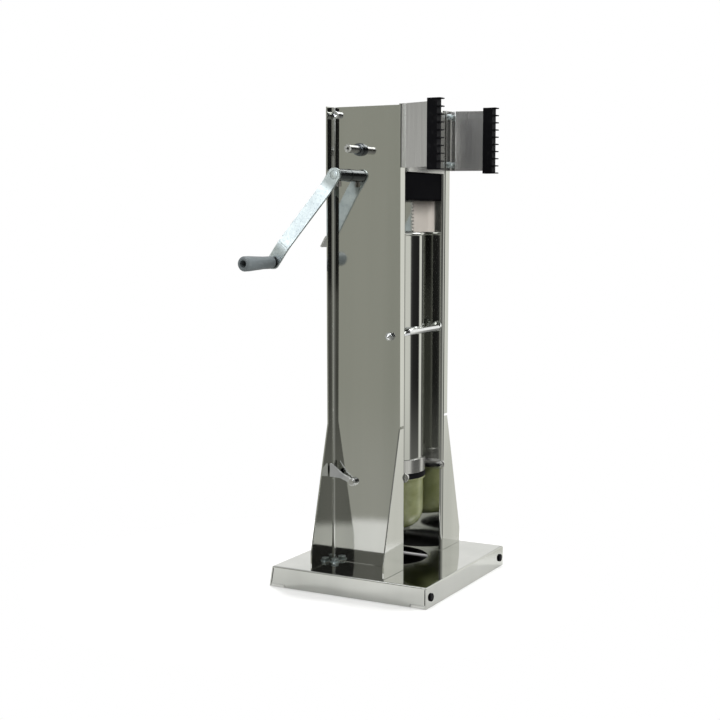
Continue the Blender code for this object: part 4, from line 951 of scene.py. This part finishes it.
def domed_nut(node, direction):
    low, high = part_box(node)
    middle = (low + high) / 2
    length = high.x - low.x
    radius = (high.z - low.z) / 2
    dome = radius * DOME_RADIUS_SHARE
    flat = length * HEX_LENGTH_SHARE
    bm = hexagon(radius, 0, flat, radius * HEX_EDGE_SHARE)
    points = [(0, flat * DOME_FOOT_SHARE), (dome, flat * DOME_FOOT_SHARE), (dome, flat)]
    for step in range(1, DOME_STEPS + 1):
        turn = math.pi / 2 * step / DOME_STEPS
        points.append((dome * math.cos(turn), flat + (length - flat) * math.sin(turn)))
    add_to(bm, spun(points, False, UP, CENTRE, ROUND_SIDES))
    aimed(bm, direction, middle - direction * length / 2)
    return settle(bm, f"{node}_domed", node, [node])


domed_nuts = [domed_nut("cap_nut_near", Vector((-1, 0, 0))), domed_nut("cap_nut_far", Vector((1, 0, 0)))]
print("domed nuts", len(domed_nuts))

# %% [markdown]
# ## Socket screws
# The tie bar is screwed on from both sides with round-headed screws that have a hexagon hole. The outer
# face of a plain disc is inset, its points are moved onto a hexagon, and the face is pushed in. That
# keeps the mesh whole, where a cut-out would leave long thin faces.

# %% Socket screws at the ends of the tie bar
SOCKET_SHARE = 0.52
SOCKET_INSET_SHARE = 0.22
SOCKET_DEPTH_SHARE = 0.6
HEAD_EDGE_SHARE = 1 / 9


def socket_screw(node, direction):
    low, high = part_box(node)
    middle = (low + high) / 2
    length = high.x - low.x
    radius = (high.z - low.z) / 2
    bm = upright_prism(radius, 0, length, ROUND_SIDES)
    round_edges(bm, radius * HEAD_EDGE_SHARE, EDGE_STEPS)
    top = max(bm.faces, key=lambda face: face.calc_center_median().z)
    bmesh.ops.inset_individual(bm, faces=[top], thickness=radius * SOCKET_INSET_SHARE)
    for vert in top.verts:
        turn = math.atan2(vert.co.y, vert.co.x)
        off_flat = math.remainder(turn, math.tau / HEX_SIDES)
        reach = radius * SOCKET_SHARE * math.cos(math.pi / HEX_SIDES) / math.cos(off_flat)
        vert.co.xy = (reach * math.cos(turn), reach * math.sin(turn))
    sunk = bmesh.ops.extrude_discrete_faces(bm, faces=[top])["faces"][0]
    bmesh.ops.translate(bm, verts=sunk.verts, vec=UP * -length * SOCKET_DEPTH_SHARE)
    aimed(bm, direction, middle - direction * length / 2)
    return settle(bm, f"{node}_socket", node, [node])


socket_screws = [
    socket_screw("tie_bolt_near", Vector((-1, 0, 0))), socket_screw("tie_bolt_far", Vector((1, 0, 0))),
]
print("socket screws", len(socket_screws))

# %% [markdown]
# ## Screws at the column's foot
# A hexagon screw with a washer holds each panel's foot down on the base, in the corner that the web makes
# with its back flange. The polished corner mirrors it twice, which is why it looks like a cluster of
# screws.

# %% Foot screws
FOOT_SCREW_WEB_GAP = 0.0126
FOOT_SCREW_BACK_GAP = 0.0124
FOOT_SCREW_RADIUS = 0.0072
FOOT_SCREW_HEIGHT = 0.0062
FOOT_WASHER_SHARE = 1.25
FOOT_WASHER_SHEET = 0.0012
FOOT_WASHER_EDGE = 0.0003
PANEL_SHEET = 0.0025


def foot_screw(side, panel):
    tray_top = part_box("base_tray")[1].z
    low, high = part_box(panel)
    web_x = high.x - PANEL_SHEET if side < 0 else low.x + PANEL_SHEET
    place = Vector((web_x + side * FOOT_SCREW_WEB_GAP, high.y - FOOT_SCREW_BACK_GAP, tray_top))
    bm = disc(FOOT_SCREW_RADIUS * FOOT_WASHER_SHARE, 0, FOOT_WASHER_SHEET, FOOT_WASHER_EDGE)
    edge = FOOT_SCREW_RADIUS * HEX_EDGE_SHARE
    add_to(bm, hexagon(FOOT_SCREW_RADIUS, FOOT_WASHER_SHEET, FOOT_SCREW_HEIGHT, edge))
    aimed(bm, UP, place)
    return settle(bm, f"foot_screw_{'near' if side < 0 else 'far'}", panel, look=zinc_steel)


foot_screws = [foot_screw(-1, "side_panel_near"), foot_screw(1, "side_panel_far")]
print("foot screws", len(foot_screws))

# %% [markdown]
# ## The studio
# A white backdrop, a pale floor and large soft lamps. Polished steel shows whatever stands round it, so
# the room has what a photographer puts there on purpose: bright walls, grey walls, black cards that draw
# the dark lines along the folds, and a strip lamp. One card hangs round the camera and ends just below
# the horizon. The steel sees two rings of walls, one low and one high, as tones at turns in degrees. The
# camera itself sees plain white, and dull surfaces get an even light from all sides.

# %% What stands round the object
LOW_WALLS = (
    (-180, (0.34, 0.345, 0.30)), (-165, (0.20, 0.20, 0.21)), (-157, (0.14, 0.14, 0.13)),
    (-138, (0.14, 0.14, 0.13)), (-130, (0.40, 0.40, 0.38)), (-100, (0.55, 0.55, 0.52)),
    (-96, (0.95, 0.95, 0.90)), (-80, (0.95, 0.95, 0.90)), (-75, (0.07, 0.07, 0.07)),
    (-66, (0.03, 0.03, 0.03)), (-37, (0.02, 0.02, 0.02)), (-32, (1.00, 1.00, 0.94)),
    (-20, (1.00, 1.00, 0.94)), (-16, (0.06, 0.06, 0.06)), (29, (0.06, 0.06, 0.06)),
    (34, (1.00, 1.02, 1.04)), (65, (1.00, 1.02, 1.04)), (80, (0.30, 0.30, 0.30)),
    (100, (0.58, 0.58, 0.56)), (122, (0.62, 0.62, 0.60)), (128, (0.82, 0.82, 0.78)),
    (134, (0.82, 0.82, 0.78)), (142, (0.405, 0.41, 0.36)), (180, (0.34, 0.345, 0.30)),
)
HIGH_WALLS = (
    (-180, (0.15, 0.15, 0.14)), (-160, (0.04, 0.04, 0.04)), (-138, (0.04, 0.04, 0.04)),
    (-120, (0.40, 0.40, 0.38)), (-60, (0.55, 0.55, 0.54)), (-38, (1.05, 1.05, 1.00)),
    (0, (1.0, 1.0, 0.98)), (65, (1.0, 1.0, 1.0)), (100, (0.50, 0.50, 0.48)),
    (125, (0.22, 0.22, 0.20)), (180, (0.18, 0.18, 0.17)),
)
WALL_CHANGE = (0.087, 0.139)
FOOT_TONE = rgb(0.50, 0.50, 0.47)
FOOT_SHARE = 0.35
FOOT_HEIGHTS = (-0.20, -0.12)
CEILING_TONE = rgb(0.66, 0.67, 0.67)
CEILING_HEIGHTS = (0.34, 0.62)
CARD_TONE = rgb(0.02, 0.02, 0.02)
CARD_TURNS = (-162, -158, -138, -133)
CARD_HEIGHTS = (-0.056, -0.050)
STRIP_TONE = rgb(4.0, 4.1, 4.2)
STRIP_TURNS = (155, 158, 178, 186)
STRIP_HEIGHTS = (0.05, 0.085, 0.25, 0.32)
DIFFUSE_TONE = rgb(0.55, 0.55, 0.55)
WHITE = rgb(1, 1, 1)
print("tones", len(LOW_WALLS), "low and", len(HIGH_WALLS), "high")


# %% The room that the steel mirrors
def turn_share(degrees):
    """A turn from -180 to 180 degrees as a share of the full ring."""
    return degrees / 360 + 1 / 2


def paint_room():
    world = bpy.data.worlds.new("studio")
    bpy.context.scene.world = world
    world.use_nodes = True
    bench = Bench(world.node_tree)
    backdrop = world.node_tree.nodes["Background"]
    way = bench.node("ShaderNodeTexCoord", out=0)
    parts = world.node_tree.nodes.new("ShaderNodeSeparateXYZ")
    world.node_tree.links.new(way.socket, parts.inputs[0])
    along, across, height = (Value(bench, parts.outputs[order]) for order in range(3))
    turn = across.math("ARCTAN2", along) * (1 / math.tau) + 1 / 2

    def ring(walls):
        stops = [(turn_share(degrees), tone) for degrees, tone in walls]
        return bench.node("ShaderNodeValToRGB", {"stops": stops}, {0: turn})

    def panel(turns):
        return bench.hill(turn, [turn_share(degrees) for degrees in turns])

    toward_floor = 1 - bench.band(height, *FOOT_HEIGHTS)
    shaded = bench.blend(toward_floor * FOOT_SHARE, ring(LOW_WALLS), FOOT_TONE)
    carded = bench.blend(panel(CARD_TURNS) * bench.band(height, *CARD_HEIGHTS), shaded, CARD_TONE)
    walls = bench.blend(bench.band(height, *WALL_CHANGE), carded, ring(HIGH_WALLS))
    room = bench.blend(bench.band(height, *CEILING_HEIGHTS), walls, CEILING_TONE)
    mirrored = bench.blend(panel(STRIP_TURNS) * bench.hill(height, STRIP_HEIGHTS), room, STRIP_TONE)
    diffuse = bench.node("ShaderNodeLightPath", out=2)
    soft = bench.blend(diffuse, mirrored, DIFFUSE_TONE)
    direct = bench.node("ShaderNodeLightPath", out=0)
    colour = bench.blend(direct, soft, WHITE)
    world.node_tree.links.new(colour.socket, backdrop.inputs["Color"])
    return world


room = paint_room()
print("room", room.name)

# %% [markdown]
# ## The floor
# White paper that fades out before the backdrop starts, so that no edge shows. Only the camera sees it
# glow: a white that is bright by itself would wash the shadow out, and a glow for every ray would shine
# up into the steel. Under the base its colour is a painted shade, nearly black, for the light that the
# base keeps off the paper.

# %% Floor
FLOOR_RADIUS = 0.50
FLOOR_MIDDLE = Vector((-0.05, 0.12, -0.0002))
FLOOR_PAPER = rgb(0.60, 0.60, 0.59)
# Nearly black: the painted shade under the base.
FLOOR_PAINTED_SHADE = rgb(0.03, 0.03, 0.03)
FLOOR_GLOW = rgb(0.27, 0.27, 0.27)
FLOOR_GLOSS = 0.6
FLOOR_FADE_SHARE = 0.82
FLOOR_SIDES = 96
BASE_MARGIN = (-0.020, -0.002)
BLACK = rgb(0, 0, 0)


def lay_floor():
    bm = bmesh.new()
    bmesh.ops.create_circle(bm, cap_ends=True, radius=FLOOR_RADIUS, segments=FLOOR_SIDES)
    mesh = bpy.data.meshes.new("floor")
    bm.to_mesh(mesh)
    bm.free()
    floor = bpy.data.objects.new("floor", mesh)
    floor.location = FLOOR_MIDDLE
    bpy.context.scene.collection.objects.link(floor)
    paper = bpy.data.materials.new("floor_paper")
    paper.use_nodes = True
    bench = Bench(paper.node_tree)
    tree = paper.node_tree
    surface = tree.nodes["Principled BSDF"]
    surface.inputs["Roughness"].default_value = FLOOR_GLOSS
    surface.inputs["Emission Strength"].default_value = FULL
    direct = bench.node("ShaderNodeLightPath", out=0)
    apart = bench.node("ShaderNodeSeparateXYZ", None, {0: bench.place()})
    across = Value(bench, apart.socket.node.outputs[1])
    low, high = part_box("base_tray")
    middle, half = (low + high) / 2, (high - low) / 2
    beyond_x = (apart + (FLOOR_MIDDLE - middle).x).math("ABSOLUTE") - half.x
    beyond_y = (across + (FLOOR_MIDDLE - middle).y).math("ABSOLUTE") - half.y
    open_floor = bench.band(beyond_x.math("MAXIMUM", beyond_y), *BASE_MARGIN)
    # Under the base the paper's colour turns to the painted shade.
    paint = bench.blend(open_floor, FLOOR_PAINTED_SHADE, FLOOR_PAPER)
    glow = bench.blend(direct * open_floor, BLACK, FLOOR_GLOW)
    tree.links.new(paint.socket, surface.inputs["Base Color"])
    tree.links.new(glow.socket, surface.inputs["Emission Color"])
    distance = bench.node("ShaderNodeVectorMath", {"operation": "LENGTH"}, {0: bench.place()}, out=1)
    edge = bench.band(distance, FLOOR_RADIUS * FLOOR_FADE_SHARE, FLOOR_RADIUS)
    clear = bench.node("ShaderNodeBsdfTransparent")
    solid = Value(bench, surface.outputs[0])
    mixed = bench.node("ShaderNodeMixShader", None, {0: edge, 1: solid, 2: clear})
    tree.links.new(mixed.socket, tree.nodes["Material Output"].inputs["Surface"])
    mesh.materials.append(paper)
    return floor


floor = lay_floor()
print("floor", len(floor.data.vertices), "corners")

# %% [markdown]
# ## Lamps
# Three large lamps give the soft light: one overhead, one from the left and one from the right. The
# column is a deep trough that they hardly reach, so two smaller ones shine into it from its open sides.
# Mirrors don't show those two, or they would glare on the cylinder.

# %% Lamps
SOFT_LAMPS = {
    "overhead": {"place": (0.1, 0.1, 2.6), "target": (0, 0, 0), "size": 1.6, "power": 24},
    "left": {"place": (-1.9, -0.2, 2.1), "target": (0, 0, 0.4), "size": 1.2, "power": 16},
    "right": {"place": (1.5, -1.8, 1.6), "target": (0, 0, 0.4), "size": 1.2, "power": 18},
}
COLUMN_LAMPS = {
    "front": {"place": (0.85, -2.1, 1.15), "target": (0.05, 0, 0.62), "size": 0.7, "power": 45},
    "back": {"place": (1.1, 1.9, 1.0), "target": (0.05, 0, 0.62), "size": 0.7, "power": 60},
}


def hang_lamp(name, place, target, size, power, mirrored=True):
    lamp = bpy.data.lights.new(name, "AREA")
    lamp.shape = "SQUARE"
    lamp.size = size
    lamp.energy = power
    holder = bpy.data.objects.new(name, lamp)
    holder.location = place
    holder.rotation_euler = (Vector(target) - Vector(place)).to_track_quat("-Z", "Y").to_euler()
    holder.visible_glossy = mirrored
    bpy.context.scene.collection.objects.link(holder)


for name, settings in SOFT_LAMPS.items():
    hang_lamp(name, **settings)
for name, settings in COLUMN_LAMPS.items():
    hang_lamp(name, **settings, mirrored=False)
print("lamps", len(SOFT_LAMPS) + len(COLUMN_LAMPS))
